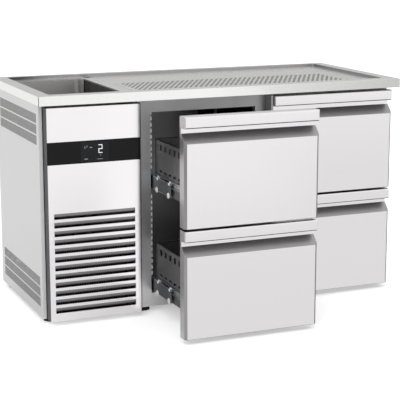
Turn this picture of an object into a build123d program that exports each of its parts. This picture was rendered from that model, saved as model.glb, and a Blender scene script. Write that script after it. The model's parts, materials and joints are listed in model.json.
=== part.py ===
from build123d import *
import math
import os

# Beer counter with a sink, a drip area and two columns of refrigerated drawers.
# Modelled in millimetres: X from the worktop's left end, Y from its front edge to the back,
# Z up from the floor. The finished solids are moved so that the origin is at the centre of
# the base of the whole object, with the left drawers pulled out.

# Overall sizes
counter_length = 1550.0
counter_depth = 700.0
counter_height = 900.0
foot_height = 20.0

# Worktop pressing
worktop_edge = 36.0
worktop_sheet = 2.0
rim_width = 52.0
back_rim_width = 30.0
field_drop = 12.0
field_corner = 12.0
return_lip = 12.0
worktop_edge_round = 1.5
tap_hole_diameter = 33.0
tap_hole_to_sink = 31.0
tap_hole_to_rim = 26.0

# Carcass
panel_sheet = 1.2
side_overhang = 17.0
back_overhang = 5.0
front_overhang = 20.0
corner_flange = 20.0
corner_reveal = 16.0
frame_sheet = 3.0
frame_lap = 5.0
back_insulation = 52.0
liner_sheet = 1.0
liner_margin = 6.0

# Ventilation slots of the left side panel
vent_front_margin = 31.7
vent_back_margin = 41.0
vent_slot_width = 5.0
vent_slot_pitch = 9.1
vent_row_height = 36.0
vent_row_pitch = 42.0
vent_rows = 3
vent_low_rise = 41.0
vent_high_fall = 196.0

# Drawer fronts
front_width = 545.0
front_depth = 50.0
front_gap = 5.0
column_gap = 15.0
right_reveal = 5.0
lid_gap = 10.0
skin_sheet = 1.2
lip_height = 45.0
recess_height = 55.0
recess_depth = 36.0
recess_back_height = 20.0
front_chamfer = 9.0
gasket_width = 14.0
gasket_depth = 6.0
gasket_inset = 20.0
seal_gap = 0.3
opening_inset = 46.0
opening_rise = 56.0
opening_fall = 46.0

# Drawer tubs
tub_sheet = 1.0
tub_length = 410.0
tub_height = 205.0
tub_lift = 6.0
tub_hole = 22.0
tub_hole_pitch = 48.0
tub_hole_fall = 30.0
tub_notch_width = 26.0
tub_notch_height = 8.0
tub_notch_rise = 78.0

# Slides, as distances from the cold cell's wall towards the tub
drawer_open = 415.0
upright_depth = 3.0
upright_width = 30.0
upright_hole_width = 10.0
upright_hole_height = 7.0
upright_hole_pitch = 48.0
rail_sheet = 1.5
roller_width = 5.0
roller_radius = 11.0
roller_gap = 0.4
axle_radius = 4.0
carriage_sheet = 2.0
carriage_margin = 5.0
slide_gap = 0.5
cabinet_rail_rise = 8.0
drawer_rail_rise = 52.0
cabinet_rail_length = 420.0
carriage_length = 410.0
rail_setback = 4.0
roller_count = 4
roller_inset = 18.0

# Sink
sink_left = 66.0
sink_front = 112.0
sink_to_cell = 34.0
sink_length = 500.0
sink_depth = 200.0
sink_corner = 40.0
sink_floor_round = 20.0
bowl_sheet = 1.2
bowl_flange = 10.0
waste_back = 130.0
waste_radius = 26.0
waste_flange = 9.0
waste_flange_height = 2.0
waste_nut_height = 12.0
waste_clearance = 0.3
tail_radius = 20.0
tail_wall = 2.0
tail_length = 70.0
strainer_holes = 6
strainer_hole_radius = 4.0
strainer_margin = 1.5

# Drip area
grid_to_sink = 54.0
grid_to_end = 150.0
grid_front = 143.0
grid_depth = 246.0
grid_clearance = 1.0
grid_hole_radius = 6.0
grid_pitch = 22.0
grid_row_pitch = 19.6
grid_end_margin = 34.0
grid_side_margin = 14.0
grid_lift_hole_radius = 4.0
grid_lift_hole_inset = 13.0
well_ledge = 10.0
well_lap = 8.0
well_sheet = 1.2
well_depth = 24.0
well_clearance = 4.0
well_spout_radius = 9.0
well_spout_length = 40.0

# Machine cover, control strip and louvres
cover_sheet = 1.2
cover_gap = 18.0
fascia_fall = 132.0
fascia_height = 87.0
fascia_sheet = 4.0
display_offset = 3.0
display_share = 0.3065
display_inset = 5.0
display_setback = 0.5
display_depth = 30.0
display_flange = 6.0
display_flange_sheet = 2.0
louvre_count = 12
louvre_left = 21.0
louvre_right = 23.0
louvre_rise = 32.0
louvre_pitch = 33.8
louvre_slot = 22.0
louvre_blade_fall = 15.0
louvre_blade_reach = 8.0

# Refrigeration
compressor_from_back = 225.0
compressor_radius = 85.0
compressor_height = 190.0
compressor_round = 45.0
compressor_plate_length = 210.0
compressor_plate_width = 150.0
compressor_plate_sheet = 3.0
grommet_height = 12.0
grommet_radius = 12.0
grommet_inset = 18.0
terminal_box_width = 60.0
terminal_box_height = 70.0
terminal_box_depth = 36.0
condenser_inset = 67.0
condenser_front = 112.0
condenser_to_cell = 20.0
condenser_height = 290.0
condenser_depth = 50.0
condenser_end_sheet = 2.0
condenser_end_lap = 8.0
condenser_fan_margin = 30.0
evaporator_inset = 60.0
evaporator_drop = 50.0
evaporator_height = 420.0
evaporator_end_sheet = 2.0
evaporator_end_lap = 6.0
evaporator_cover_sheet = 1.2
evaporator_space = 40.0
evaporator_cover_rise = 175.0
evaporator_fan_radius = 70.0
evaporator_fan_drop = 164.0
evaporator_fan_box = 172.0
fan_tip_gap = 5.0
fan_hub_share = 0.27
fan_blades = 5
fan_blade_sheet = 2.0
fan_blade_pitch = 32.0
fan_chord_share = 0.75
fan_depth = 22.0
fan_gap = 4.0
shaft_radius = 4.0
shaft_clearance = 0.3
motor_share = 0.3
motor_length = 36.0
ring_wall = 2.0
shroud_sheet = 2.0
strut_width = 10.0
strut_depth = 5.0
strut_count = 3
line_radius = 5.0
line_stub_length = 4.0
line_stub_wall = 2.0
line_bend = 24.0
line_wall_gap = 6.0
line_rise = 16.0
line_from_back = 75.0
discharge_offset = 35.0

# Levelling feet
pad_radius = 30.0
pad_height = 10.0
pad_chamfer = 3.0
lock_nut_width = 24.0
stem_radius = 6.0
stem_length = 26.0
stem_clearance = 0.3
stem_pocket = 4.0
foot_inset_front = 45.0
foot_inset_back = 50.0
foot_inset_side = 45.0

# Cable exit in the back panel
cable_hole_radius = 10.0
cable_hole_left = 70.0
cable_hole_rise = 80.0

# Planes and places worked out from the sizes above
carcass_left = side_overhang
carcass_right = counter_length - side_overhang
carcass_back = counter_depth - back_overhang
carcass_bottom = foot_height
worktop_underside = counter_height - worktop_edge
rim_underside = counter_height - worktop_sheet
field_top = counter_height - field_drop
field_underside = field_top - worktop_sheet
field_back = counter_depth - back_rim_width
front_plane = front_overhang
front_back = front_plane + front_depth
frame_plane = front_back + gasket_depth + seal_gap
frame_back = frame_plane + frame_sheet
fronts_top = worktop_underside - lid_gap
front_height = (fronts_top - carcass_bottom - front_gap) / 2
tier_pitch = front_height + front_gap
right_column = carcass_right - right_reveal - front_width
left_column = right_column - column_gap - front_width
cover_left = carcass_left + corner_reveal
cover_right = left_column - cover_gap
cell_left = cover_right - frame_lap
opening_bottom = carcass_bottom + opening_rise
opening_top = fronts_top - opening_fall
liner_floor = opening_bottom - liner_margin
liner_ceiling = opening_top + liner_margin
liner_left = left_column + opening_inset - liner_margin
liner_right = right_column + front_width - opening_inset + liner_margin
liner_back = carcass_back - panel_sheet - back_insulation - liner_sheet
sink_width = cell_left - sink_to_cell - sink_left
sink_right = sink_left + sink_width
sink_back = sink_front + sink_length
tap_hole_x = sink_right + tap_hole_to_sink
grid_left = sink_right + grid_to_sink
grid_right = counter_length - grid_to_end
grid_back = grid_front + grid_depth
well_bottom = field_underside - well_depth
insulation_top = well_bottom - well_clearance
base_top = carcass_bottom + panel_sheet
evaporator_cover_plane = liner_back - evaporator_space
fascia_top = fronts_top - fascia_fall
fascia_bottom = fascia_top - fascia_height
display_width = (cover_right - cover_left) * display_share
display_x = (cover_left + cover_right - display_width) / 2 + display_offset
waste_x = (sink_left + sink_right) / 2
waste_y = sink_back - waste_back
bowl_floor = field_underside - sink_depth
compressor_x = (carcass_left + panel_sheet + cell_left) / 2
compressor_y = carcass_back - compressor_from_back
condenser_left = carcass_left + condenser_inset
condenser_width = cell_left - condenser_to_cell - condenser_left
condenser_top = base_top + condenser_height
condenser_fan_radius = min(condenser_width, condenser_height) / 2 - condenser_fan_margin
evaporator_top = liner_ceiling - evaporator_drop
evaporator_bottom = evaporator_top - evaporator_height
line_y = carcass_back - line_from_back
line_z = evaporator_bottom + line_rise
pot_top = base_top + grommet_height + compressor_plate_sheet + compressor_height
stub_z = base_top + grommet_height + compressor_plate_sheet + compressor_height / 2
origin_shift = Vector(-counter_length / 2, -(front_plane - drawer_open + counter_depth) / 2, 0)

# Distances of the slide members from the cold cell's wall
rail_face = upright_depth + rail_sheet
lower_roller_in = max(liner_margin, rail_face) + slide_gap
lower_roller_out = lower_roller_in + roller_width
carriage_in = lower_roller_out + slide_gap
carriage_out = carriage_in + carriage_sheet
upper_roller_in = carriage_out + slide_gap
upper_roller_out = upper_roller_in + roller_width
drawer_rail_web = upper_roller_out + slide_gap
tub_offset = drawer_rail_web + rail_sheet
channel_half = roller_radius + roller_gap + rail_sheet
cabinet_rail_front = frame_back + rail_setback
carriage_front = frame_back + rail_setback
drawer_rail_front = front_back + gasket_depth + rail_setback
tub_back = front_back + tub_length


def block(x0, x1, y0, y1, z0, z1):
    """A straight box between two corners."""
    return Pos((x0 + x1) / 2, (y0 + y1) / 2, (z0 + z1) / 2) * Box(x1 - x0, y1 - y0, z1 - z0)


def rod(start, direction, radius, length):
    """A round bar that starts at a point and runs along a direction."""
    return extrude(Plane(origin=start, z_dir=direction) * Circle(radius), length)


def pipe(start, direction, radius, wall, length):
    """A round tube open at both ends."""
    return rod(start, direction, radius, length) - rod(start, direction, radius - wall, length)


def prism_along_x(outline, x0, x1):
    """A prism whose section is given as (y, z) points."""
    section = make_face(Polyline(*outline, close=True))
    return extrude(Plane(origin=(x0, 0, 0), x_dir=(0, 1, 0), z_dir=(1, 0, 0)) * section, x1 - x0)


def prism_up(outline, z0, z1):
    """A prism whose section is given as (x, y) points."""
    return extrude(Pos(0, 0, z0) * make_face(Polyline(*outline, close=True)), z1 - z0)


def rounded_slab(x0, x1, y0, y1, z0, z1, corner):
    """A slab with rounded upright corners."""
    outline = RectangleRounded(x1 - x0, y1 - y0, corner)
    return extrude(Pos((x0 + x1) / 2, (y0 + y1) / 2, z0) * outline, z1 - z0)


def ring_frame(x0, x1, y0, y1, z0, z1, wall):
    """A rectangular ring of sheet, its wall inside the given outline."""
    return block(x0, x1, y0, y1, z0, z1) - block(x0 + wall, x1 - wall, y0 + wall, y1 - wall, z0, z1)


def rectangle_wire(x, low, high):
    """A rectangle in the plane at x, between two (y, z) corners."""
    corners = [(x, low[0], low[1]), (x, high[0], low[1]), (x, high[0], high[1]), (x, low[0], high[1])]
    return Wire.make_polygon(corners, close=True)


def holed_side(x, sheet, low, high, holes):
    """An upright sheet facing X with rectangular holes, each given as two (y, z) corners."""
    face = Face(rectangle_wire(x, low, high), [rectangle_wire(x, *hole) for hole in holes])
    return extrude(face, sheet, dir=(1, 0, 0))


def cut_into(shape, spans):
    """The parts of a shape inside each of several boxes, as touching sheets."""
    return [piece for span in spans for piece in (shape & block(*span)).solids()]


def save(name, *solids):
    """Move a node's solids to the shared origin and write them."""
    pieces = [piece for shape in solids for piece in shape.solids()]
    moved = [piece.moved(Location(origin_shift)) for piece in pieces]
    export_step(moved[0] if len(moved) == 1 else Compound(moved), f"parts/{name}.step")


def opening_span(column):
    """Left and right edge of the face frame's opening in a drawer column."""
    return column + opening_inset, column + front_width - opening_inset


def slide_span(column, side, near, far):
    """X range of a slide member, given as distances from the wall on one side of a column."""
    left, right = opening_span(column)
    if side < 0:
        return left - liner_margin + near, left - liner_margin + far
    return right + liner_margin - far, right + liner_margin - near


# Worktop, sink and drip area

def worktop():
    """Rim, sunk field, turned-down edge with a return lip, and its cut-outs, as welded sheets."""
    grid_hole = (grid_left - grid_clearance, grid_right + grid_clearance,
                 grid_front - grid_clearance, grid_back + grid_clearance)
    rim = block(0, counter_length, 0, counter_depth, rim_underside, counter_height)
    rim -= rounded_slab(rim_width, counter_length - rim_width, rim_width, field_back,
                        rim_underside, counter_height, field_corner)
    pan_wall = rounded_slab(rim_width - worktop_sheet, counter_length - rim_width + worktop_sheet,
                            rim_width - worktop_sheet, field_back + worktop_sheet,
                            field_underside, rim_underside, field_corner + worktop_sheet)
    pan_wall -= rounded_slab(rim_width, counter_length - rim_width, rim_width, field_back,
                             field_top, rim_underside, field_corner)
    skirt = ring_frame(0, counter_length, 0, counter_depth, worktop_underside, rim_underside, worktop_sheet)
    lip_reach = worktop_sheet + return_lip
    lip = block(0, counter_length, 0, counter_depth, worktop_underside, worktop_underside + worktop_sheet)
    lip -= block(lip_reach, counter_length - lip_reach, lip_reach, counter_depth,
                 worktop_underside, worktop_underside + worktop_sheet)
    top = rim + pan_wall + skirt + lip
    top -= rounded_slab(sink_left, sink_right, sink_front, sink_back,
                        field_underside, field_top, sink_corner)
    top -= block(*grid_hole, field_underside, field_top)
    top -= rod((tap_hole_x, field_back - tap_hole_to_rim, field_underside), (0, 0, 1),
               tap_hole_diameter / 2, worktop_sheet)
    top_edges = top.edges().filter_by_position(Axis.Z, counter_height, counter_height)
    middles = [(edge, edge.center()) for edge in top_edges]
    outer_edges = [edge for edge, spot in middles
                   if min(spot.X, counter_length - spot.X, spot.Y, counter_depth - spot.Y) < worktop_sheet]
    top = fillet(outer_edges, worktop_edge_round)
    return cut_into(top, [*worktop_edge_spans(lip_reach), *worktop_field_spans(grid_hole)])


def worktop_edge_spans(lip_reach):
    """Boxes round the four rim strips, the four skirts and the four walls down to the field."""
    right = counter_length - rim_width
    rims = [(0, counter_length, 0, rim_width), (0, counter_length, field_back, counter_depth),
            (0, rim_width, rim_width, field_back), (right, counter_length, rim_width, field_back)]
    skirt_back = counter_depth - worktop_sheet
    skirts = [(0, counter_length, 0, lip_reach), (0, counter_length, skirt_back, counter_depth),
              (0, lip_reach, lip_reach, skirt_back),
              (counter_length - lip_reach, counter_length, lip_reach, skirt_back)]
    wall = rim_width - worktop_sheet
    walls = [(wall, counter_length - wall, wall, rim_width),
             (wall, counter_length - wall, field_back, field_back + worktop_sheet),
             (wall, rim_width, rim_width, field_back),
             (right, counter_length - wall, rim_width, field_back)]
    return [*[(*rim, rim_underside, counter_height) for rim in rims],
            *[(*skirt, worktop_underside, rim_underside) for skirt in skirts],
            *[(*step, field_underside, rim_underside) for step in walls]]


def worktop_field_spans(grid_hole):
    """Boxes round the field's plates beside the sink and the drip area, and round the sink's corners."""
    hole_left, hole_right, hole_front, hole_back = grid_hole
    end = counter_length - rim_width
    plates = [(rim_width, sink_left, rim_width, field_back),
              (sink_left, sink_right, rim_width, sink_front),
              (sink_left, sink_right, sink_back, field_back),
              (sink_right, hole_left, rim_width, field_back),
              (hole_left, hole_right, rim_width, hole_front),
              (hole_left, hole_right, hole_back, field_back),
              (hole_right, end - field_corner, rim_width, field_back),
              (end - field_corner, end, rim_width, field_back)]
    corners = [(*across, *along) for across in ((sink_left, sink_left + sink_corner),
                                                (sink_right - sink_corner, sink_right))
               for along in ((sink_front, sink_front + sink_corner), (sink_back - sink_corner, sink_back))]
    return [(*span, field_underside, counter_height) for span in (*plates, *corners)]


def sink_bowl():
    """Bowl of welded walls and bends, with a flange welded under the worktop's field."""
    shell = rounded_slab(sink_left - bowl_sheet, sink_right + bowl_sheet, sink_front - bowl_sheet,
                         sink_back + bowl_sheet, bowl_floor - bowl_sheet, field_underside,
                         sink_corner + bowl_sheet)
    shell = fillet(shell.edges().group_by(Axis.Z)[0], sink_floor_round + bowl_sheet)
    flange = rounded_slab(sink_left - bowl_flange, sink_right + bowl_flange, sink_front - bowl_flange,
                          sink_back + bowl_flange, field_underside - bowl_sheet, field_underside,
                          sink_corner + bowl_flange)
    hollow = rounded_slab(sink_left, sink_right, sink_front, sink_back,
                          bowl_floor, field_underside, sink_corner)
    hollow = fillet(hollow.edges().group_by(Axis.Z)[0], sink_floor_round)
    drain = rod((waste_x, waste_y, bowl_floor - bowl_sheet), (0, 0, 1), waste_radius, bowl_sheet)
    bowl = shell + flange - hollow - drain
    across = (sink_left - bowl_flange, sink_left + sink_corner,
              sink_right - sink_corner, sink_right + bowl_flange)
    along = (sink_front - bowl_flange, sink_front + sink_corner,
             sink_back - sink_corner, sink_back + bowl_flange)
    up = (bowl_floor - bowl_sheet, bowl_floor + sink_floor_round, field_underside)
    return cut_into(bowl, [(*x, *y, *z) for x in zip(across, across[1:]) for y in zip(along, along[1:])
                           for z in zip(up, up[1:]) if (x, y, z[0]) != (across[1:3], along[1:3], up[1])])


def sink_waste():
    """Waste fitting: flange with a fixed strainer in the bowl, nut below it and a tail pipe."""
    up = (0, 0, 1)
    body_radius = waste_radius - waste_clearance
    low = bowl_floor - bowl_sheet
    flange = rod((waste_x, waste_y, bowl_floor), up, waste_radius + waste_flange, waste_flange_height)
    neck = rod((waste_x, waste_y, low - waste_nut_height), up, body_radius, waste_nut_height + bowl_sheet)
    nut = rod((waste_x, waste_y, low - waste_nut_height), up, waste_radius + waste_flange, waste_nut_height)
    tail_low = low - waste_nut_height - tail_length
    tail = rod((waste_x, waste_y, tail_low), up, tail_radius, tail_length)
    bore_length = tail_length + waste_nut_height + bowl_sheet
    bore = rod((waste_x, waste_y, tail_low), up, tail_radius - tail_wall, bore_length)
    fitting = flange + neck + nut + tail - bore
    for turn in range(strainer_holes):
        angle = 2 * math.pi * turn / strainer_holes
        reach = tail_radius - tail_wall - strainer_hole_radius - strainer_margin
        spot = (waste_x + reach * math.cos(angle), waste_y + reach * math.sin(angle), bowl_floor)
        fitting -= rod(spot, up, strainer_hole_radius, waste_flange_height)
    return fitting


def drip_well():
    """Shallow tray of welded sheets under the field, with a ledge for the grid and a spout."""
    left = grid_left + well_ledge
    right = grid_right - well_ledge
    front = grid_front + well_ledge
    back = grid_back - well_ledge
    reach = well_ledge + grid_clearance + well_lap
    floor_top = well_bottom + well_sheet
    ledge_low = field_underside - well_sheet
    floor = block(left - well_sheet, right + well_sheet, front - well_sheet, back + well_sheet,
                  well_bottom, floor_top)
    walls = [block(left - well_sheet, right + well_sheet, front - well_sheet, front, floor_top, ledge_low),
             block(left - well_sheet, right + well_sheet, back, back + well_sheet, floor_top, ledge_low),
             block(right, right + well_sheet, front, back, floor_top, ledge_low)]
    ledges = [block(left - reach, right + reach, front - reach, front, ledge_low, field_underside),
              block(left - reach, right + reach, back, back + reach, ledge_low, field_underside),
              block(left - reach, left, front, back, ledge_low, field_underside),
              block(right, right + reach, front, back, ledge_low, field_underside)]
    spout_start = (left - well_spout_length, (front + back) / 2, floor_top + well_spout_radius)
    bore = rod(spout_start, (1, 0, 0), well_spout_radius - well_sheet, well_spout_length)
    left_wall = block(left - well_sheet, left, front, back, floor_top, ledge_low) - bore
    spout = rod(spout_start, (1, 0, 0), well_spout_radius, well_spout_length - well_sheet) - bore
    return floor, *walls, left_wall, *ledges, spout


def drip_grid():
    """Lift-out perforated plate, flush with the field."""
    x0, y0 = grid_left, grid_front
    x1, y1 = grid_right, grid_back
    outline = Wire.make_polygon([(x0, y0, field_underside), (x1, y0, field_underside),
                                 (x1, y1, field_underside), (x0, y1, field_underside)], close=True)
    rows = int((y1 - y0 - 2 * grid_side_margin) // grid_row_pitch) + 1
    columns = int((x1 - x0 - 2 * grid_end_margin) // grid_pitch) + 1
    holes = []
    for row in range(rows):
        shift = (row % 2 - 0.5) * grid_pitch / 2
        y = (y0 + y1) / 2 + (row - (rows - 1) / 2) * grid_row_pitch
        for column in range(columns):
            x = (x0 + x1) / 2 + (column - (columns - 1) / 2) * grid_pitch + shift
            holes.append(Wire.make_circle(grid_hole_radius, Plane((x, y, field_underside))))
    inset = grid_lift_hole_inset
    for spot in ((x0 + inset, y1 - inset), (x1 - inset, y0 + inset)):
        holes.append(Wire.make_circle(grid_lift_hole_radius, Plane((*spot, field_underside))))
    return extrude(Face(outline, holes), worktop_sheet, dir=(0, 0, 1))


# Carcass

def vent_holes():
    """Rectangular slots of both ventilation groups of the left side panel."""
    vent_front = frame_plane + vent_front_margin
    vent_length = carcass_back - vent_back_margin - vent_front
    columns = int((vent_length - vent_slot_width) // vent_slot_pitch) + 1
    holes = []
    for low in (carcass_bottom + vent_low_rise, rim_underside - vent_high_fall):
        for row in range(vent_rows):
            z = low + row * vent_row_pitch
            for column in range(columns):
                y = vent_front + column * vent_slot_pitch
                holes.append(((y, z), (y + vent_slot_width, z + vent_row_height)))
    return holes


def left_side_panel():
    """Vented side sheet with a flange round the front corner."""
    low = (frame_plane, carcass_bottom)
    high = (carcass_back, rim_underside)
    side = holed_side(carcass_left, panel_sheet, low, high, vent_holes())
    flange = block(carcass_left + panel_sheet, carcass_left + corner_flange, frame_plane,
                   frame_plane + panel_sheet, carcass_bottom, rim_underside)
    return side, flange


def right_side_panel():
    """Plain side sheet."""
    return block(carcass_right - panel_sheet, carcass_right, frame_plane, carcass_back,
                 carcass_bottom, rim_underside)


def back_panel():
    """Plain back sheet with the cable exit behind the machine room."""
    sheet = block(carcass_left + panel_sheet, carcass_right - panel_sheet, carcass_back - panel_sheet,
                  carcass_back, carcass_bottom, rim_underside)
    exit_spot = (carcass_left + cable_hole_left, carcass_back - panel_sheet,
                 carcass_bottom + cable_hole_rise)
    return sheet - rod(exit_spot, (0, 1, 0), cable_hole_radius, panel_sheet)


def foot_spots():
    """Name and centre of each levelling foot."""
    columns = {
        "left": carcass_left + foot_inset_side,
        "middle": cell_left + foot_inset_side,
        "right": carcass_right - foot_inset_side,
    }
    rows = {"front": frame_plane + foot_inset_front, "back": carcass_back - foot_inset_back}
    return {f"foot_{row}_{column}": (x, y) for row, y in rows.items() for column, x in columns.items()}


def foot(spot):
    """Levelling foot: pad, lock nut and threaded stem in one piece."""
    x, y = spot
    pad = rod((x, y, 0), (0, 0, 1), pad_radius, pad_height)
    pad = chamfer(pad.edges().group_by(Axis.Z)[-1], pad_chamfer)
    nut_height = foot_height - stem_clearance - pad_height
    hexagon = RegularPolygon(lock_nut_width / 2, 6, major_radius=False)
    nut = extrude(Pos(x, y, pad_height) * hexagon, nut_height)
    stem = rod((x, y, pad_height), (0, 0, 1), stem_radius, nut_height + stem_length)
    return pad + nut + stem


def base_pan():
    """Base sheet with holes for the feet, and the partition beside the cold cell."""
    base = block(carcass_left + panel_sheet, carcass_right - panel_sheet, frame_back,
                 carcass_back - panel_sheet, carcass_bottom, base_top)
    for x, y in foot_spots().values():
        base -= rod((x, y, carcass_bottom), (0, 0, 1), stem_radius + stem_clearance, panel_sheet)
    partition = block(cell_left, cell_left + panel_sheet, frame_back, carcass_back - panel_sheet,
                      base_top, insulation_top)
    return base, partition - line_passage()


def line_passage():
    """Round way for the refrigerant lines through the cold cell's left wall."""
    start = (cell_left, line_y, line_z)
    return rod(start, (1, 0, 0), line_radius + line_wall_gap, liner_left - cell_left)


def face_frame():
    """Welded strips round the two drawer openings."""
    left_open, right_open = opening_span(left_column), opening_span(right_column)
    left = cell_left
    right = carcass_right - panel_sheet
    stile_edges = ((left, left_open[0]), (left_open[1], right_open[0]), (right_open[1], right))
    stiles = [block(x0, x1, frame_plane, frame_back, opening_bottom, opening_top) for x0, x1 in stile_edges]
    top_rail = block(left, right, frame_plane, frame_back, opening_top, field_underside)
    bottom_rail = block(left, right, frame_plane, frame_back, carcass_bottom, opening_bottom)
    return *stiles, top_rail, bottom_rail


def cold_liner():
    """Inner sheets of the cold cell: floor, ceiling, two sides and back."""
    floor = block(liner_left - liner_sheet, liner_right + liner_sheet, frame_back,
                  liner_back + liner_sheet, liner_floor - liner_sheet, liner_floor)
    ceiling = block(liner_left - liner_sheet, liner_right + liner_sheet, frame_back,
                    liner_back + liner_sheet, liner_ceiling, liner_ceiling + liner_sheet)
    left = block(liner_left - liner_sheet, liner_left, frame_back, liner_back + liner_sheet,
                 liner_floor, liner_ceiling)
    right = block(liner_right, liner_right + liner_sheet, frame_back, liner_back + liner_sheet,
                  liner_floor, liner_ceiling)
    back = block(liner_left, liner_right, liner_back, liner_back + liner_sheet, liner_floor, liner_ceiling)
    return floor, ceiling, left - line_passage(), right, back


def wall_insulation():
    """Foam slabs between the liner and the outer sheets."""
    left = cell_left + panel_sheet
    right = carcass_right - panel_sheet
    back = carcass_back - panel_sheet
    low = liner_floor - liner_sheet
    high = liner_ceiling + liner_sheet
    floor = block(left, right, frame_back, back, base_top, low)
    for x, y in foot_spots().values():
        pocket_height = stem_length + stem_pocket - panel_sheet
        floor -= rod((x, y, base_top), (0, 0, 1), stem_radius + stem_pocket, pocket_height)
    ceiling = block(left, right, frame_back, back, high, insulation_top)
    left_wall = block(left, liner_left - liner_sheet, frame_back, back, low, high) - line_passage()
    right_wall = block(liner_right + liner_sheet, right, frame_back, back, low, high)
    back_wall = block(liner_left - liner_sheet, liner_right + liner_sheet,
                      liner_back + liner_sheet, back, low, high)
    return floor, ceiling, left_wall, right_wall, back_wall


# Machine room front

def machine_cover():
    """Boxed cover with pressed louvres and a full-width gap for the control fascia."""
    cover = block(cover_left, cover_right, front_plane, frame_plane, carcass_bottom, fronts_top)
    cover -= block(cover_left + cover_sheet, cover_right - cover_sheet, front_plane + cover_sheet,
                   frame_plane, carcass_bottom + cover_sheet, fronts_top - cover_sheet)
    cover -= block(cover_left, cover_right, front_plane, front_plane + fascia_sheet,
                   fascia_bottom, fascia_top)
    x0 = cover_left + louvre_left
    x1 = cover_right - louvre_right
    for index in range(louvre_count):
        low = carcass_bottom + louvre_rise + index * louvre_pitch
        high = low + louvre_slot
        cover -= block(x0, x1, front_plane, front_plane + cover_sheet, low, high)
        blade = [(front_plane, high), (front_plane + louvre_blade_reach, high - louvre_blade_fall),
                 (front_plane + louvre_blade_reach + cover_sheet, high - louvre_blade_fall),
                 (front_plane + cover_sheet, high + cover_sheet / 2), (front_plane, high + cover_sheet / 2)]
        cover += prism_along_x(blade, x0, x1)
    return cover


def control_fascia():
    """Black strip across the cover with a window for the display."""
    strip = block(cover_left, cover_right, front_plane, front_plane + fascia_sheet,
                  fascia_bottom, fascia_top)
    window = block(display_x, display_x + display_width, front_plane, front_plane + fascia_sheet,
                   fascia_bottom + display_inset, fascia_top - display_inset)
    return strip - window


def controller():
    """Controller whose display fills the fascia's window, with a flange behind it."""
    x1 = display_x + display_width
    low = fascia_bottom + display_inset
    high = fascia_top - display_inset
    face = front_plane + display_setback
    body = block(display_x, x1, face, face + display_depth, low, high)
    flange = block(display_x - display_flange, x1 + display_flange, front_plane + fascia_sheet,
                   front_plane + fascia_sheet + display_flange_sheet, fascia_bottom, fascia_top)
    return body + flange


# Refrigeration

def compressor():
    """Hermetic compressor on a plate with rubber grommets, and its terminal box."""
    plate_low = base_top + grommet_height
    plate_top = plate_low + compressor_plate_sheet
    half_length = compressor_plate_length / 2
    half_width = compressor_plate_width / 2
    plate = block(compressor_x - half_length, compressor_x + half_length,
                  compressor_y - half_width, compressor_y + half_width, plate_low, plate_top)
    pot = rod((compressor_x, compressor_y, plate_top), (0, 0, 1), compressor_radius, compressor_height)
    pot = fillet(pot.edges().group_by(Axis.Z)[-1], compressor_round)
    box_low = plate_top + terminal_box_height
    box = block(compressor_x - terminal_box_width / 2, compressor_x + terminal_box_width / 2,
                compressor_y - compressor_radius - terminal_box_depth, compressor_y,
                box_low, box_low + terminal_box_height)
    grommets = []
    for x_side in (-1, 1):
        for y_side in (-1, 1):
            x = compressor_x + x_side * (half_length - grommet_inset)
            y = compressor_y + y_side * (half_width - grommet_inset)
            grommets.append(rod((x, y, base_top), (0, 0, 1), grommet_radius, grommet_height))
    stub_radius = line_radius + line_stub_wall
    suction_stub = rod((compressor_x, compressor_y, stub_z), (0, 1, 0), stub_radius,
                       compressor_radius + line_stub_length)
    discharge_stub = rod((compressor_x - discharge_offset, compressor_y, plate_top), (0, 0, 1), stub_radius,
                         compressor_height + line_stub_length)
    return plate + pot + box + suction_stub + discharge_stub, *grommets


def finned_block(x0, x1, y0, y1, z0, z1, end_sheet, end_lap):
    """Finned core between two end plates that stand a little proud of it."""
    core = block(x0 + end_sheet, x1 - end_sheet, y0 + end_lap, y1 - end_lap, z0 + end_lap, z1 - end_lap)
    ends = block(x0, x0 + end_sheet, y0, y1, z0, z1) + block(x1 - end_sheet, x1, y0, y1, z0, z1)
    return core + ends


def condenser():
    """Condenser block behind the louvres, on the base pan."""
    return finned_block(condenser_left, condenser_left + condenser_width, condenser_front,
                        condenser_front + condenser_depth, base_top, condenser_top,
                        condenser_end_sheet, condenser_end_lap)


def evaporator():
    """Evaporator block on the cold cell's back wall."""
    return finned_block(liner_left + evaporator_inset, liner_right - evaporator_inset,
                        evaporator_cover_plane + evaporator_cover_sheet, liner_back,
                        evaporator_bottom, evaporator_top, evaporator_end_sheet, evaporator_end_lap)


def fan(centre, radius, facing):
    """Axial fan about Y: hub with a shaft bore and pitched blades, its near face at the centre given."""
    x, y, z = centre
    along = (0, facing, 0)
    hub_radius = radius * fan_hub_share
    impeller = rod(centre, along, hub_radius, fan_depth)
    span = radius - hub_radius / 2
    blade = Rot(fan_blade_pitch, 0, 0) * Box(span, fan_blade_sheet, radius * fan_chord_share)
    blade = Pos(hub_radius / 2 + span / 2, 0, 0) * blade
    envelope = rod((0, -fan_depth / 2, 0), (0, 1, 0), radius, fan_depth)
    for index in range(fan_blades):
        turned = Rot(0, 360 * index / fan_blades, 0) * blade
        impeller += Pos(x, y + facing * fan_depth / 2, z) * (turned & envelope)
    return impeller - rod(centre, along, shaft_radius + shaft_clearance, fan_depth)


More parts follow.
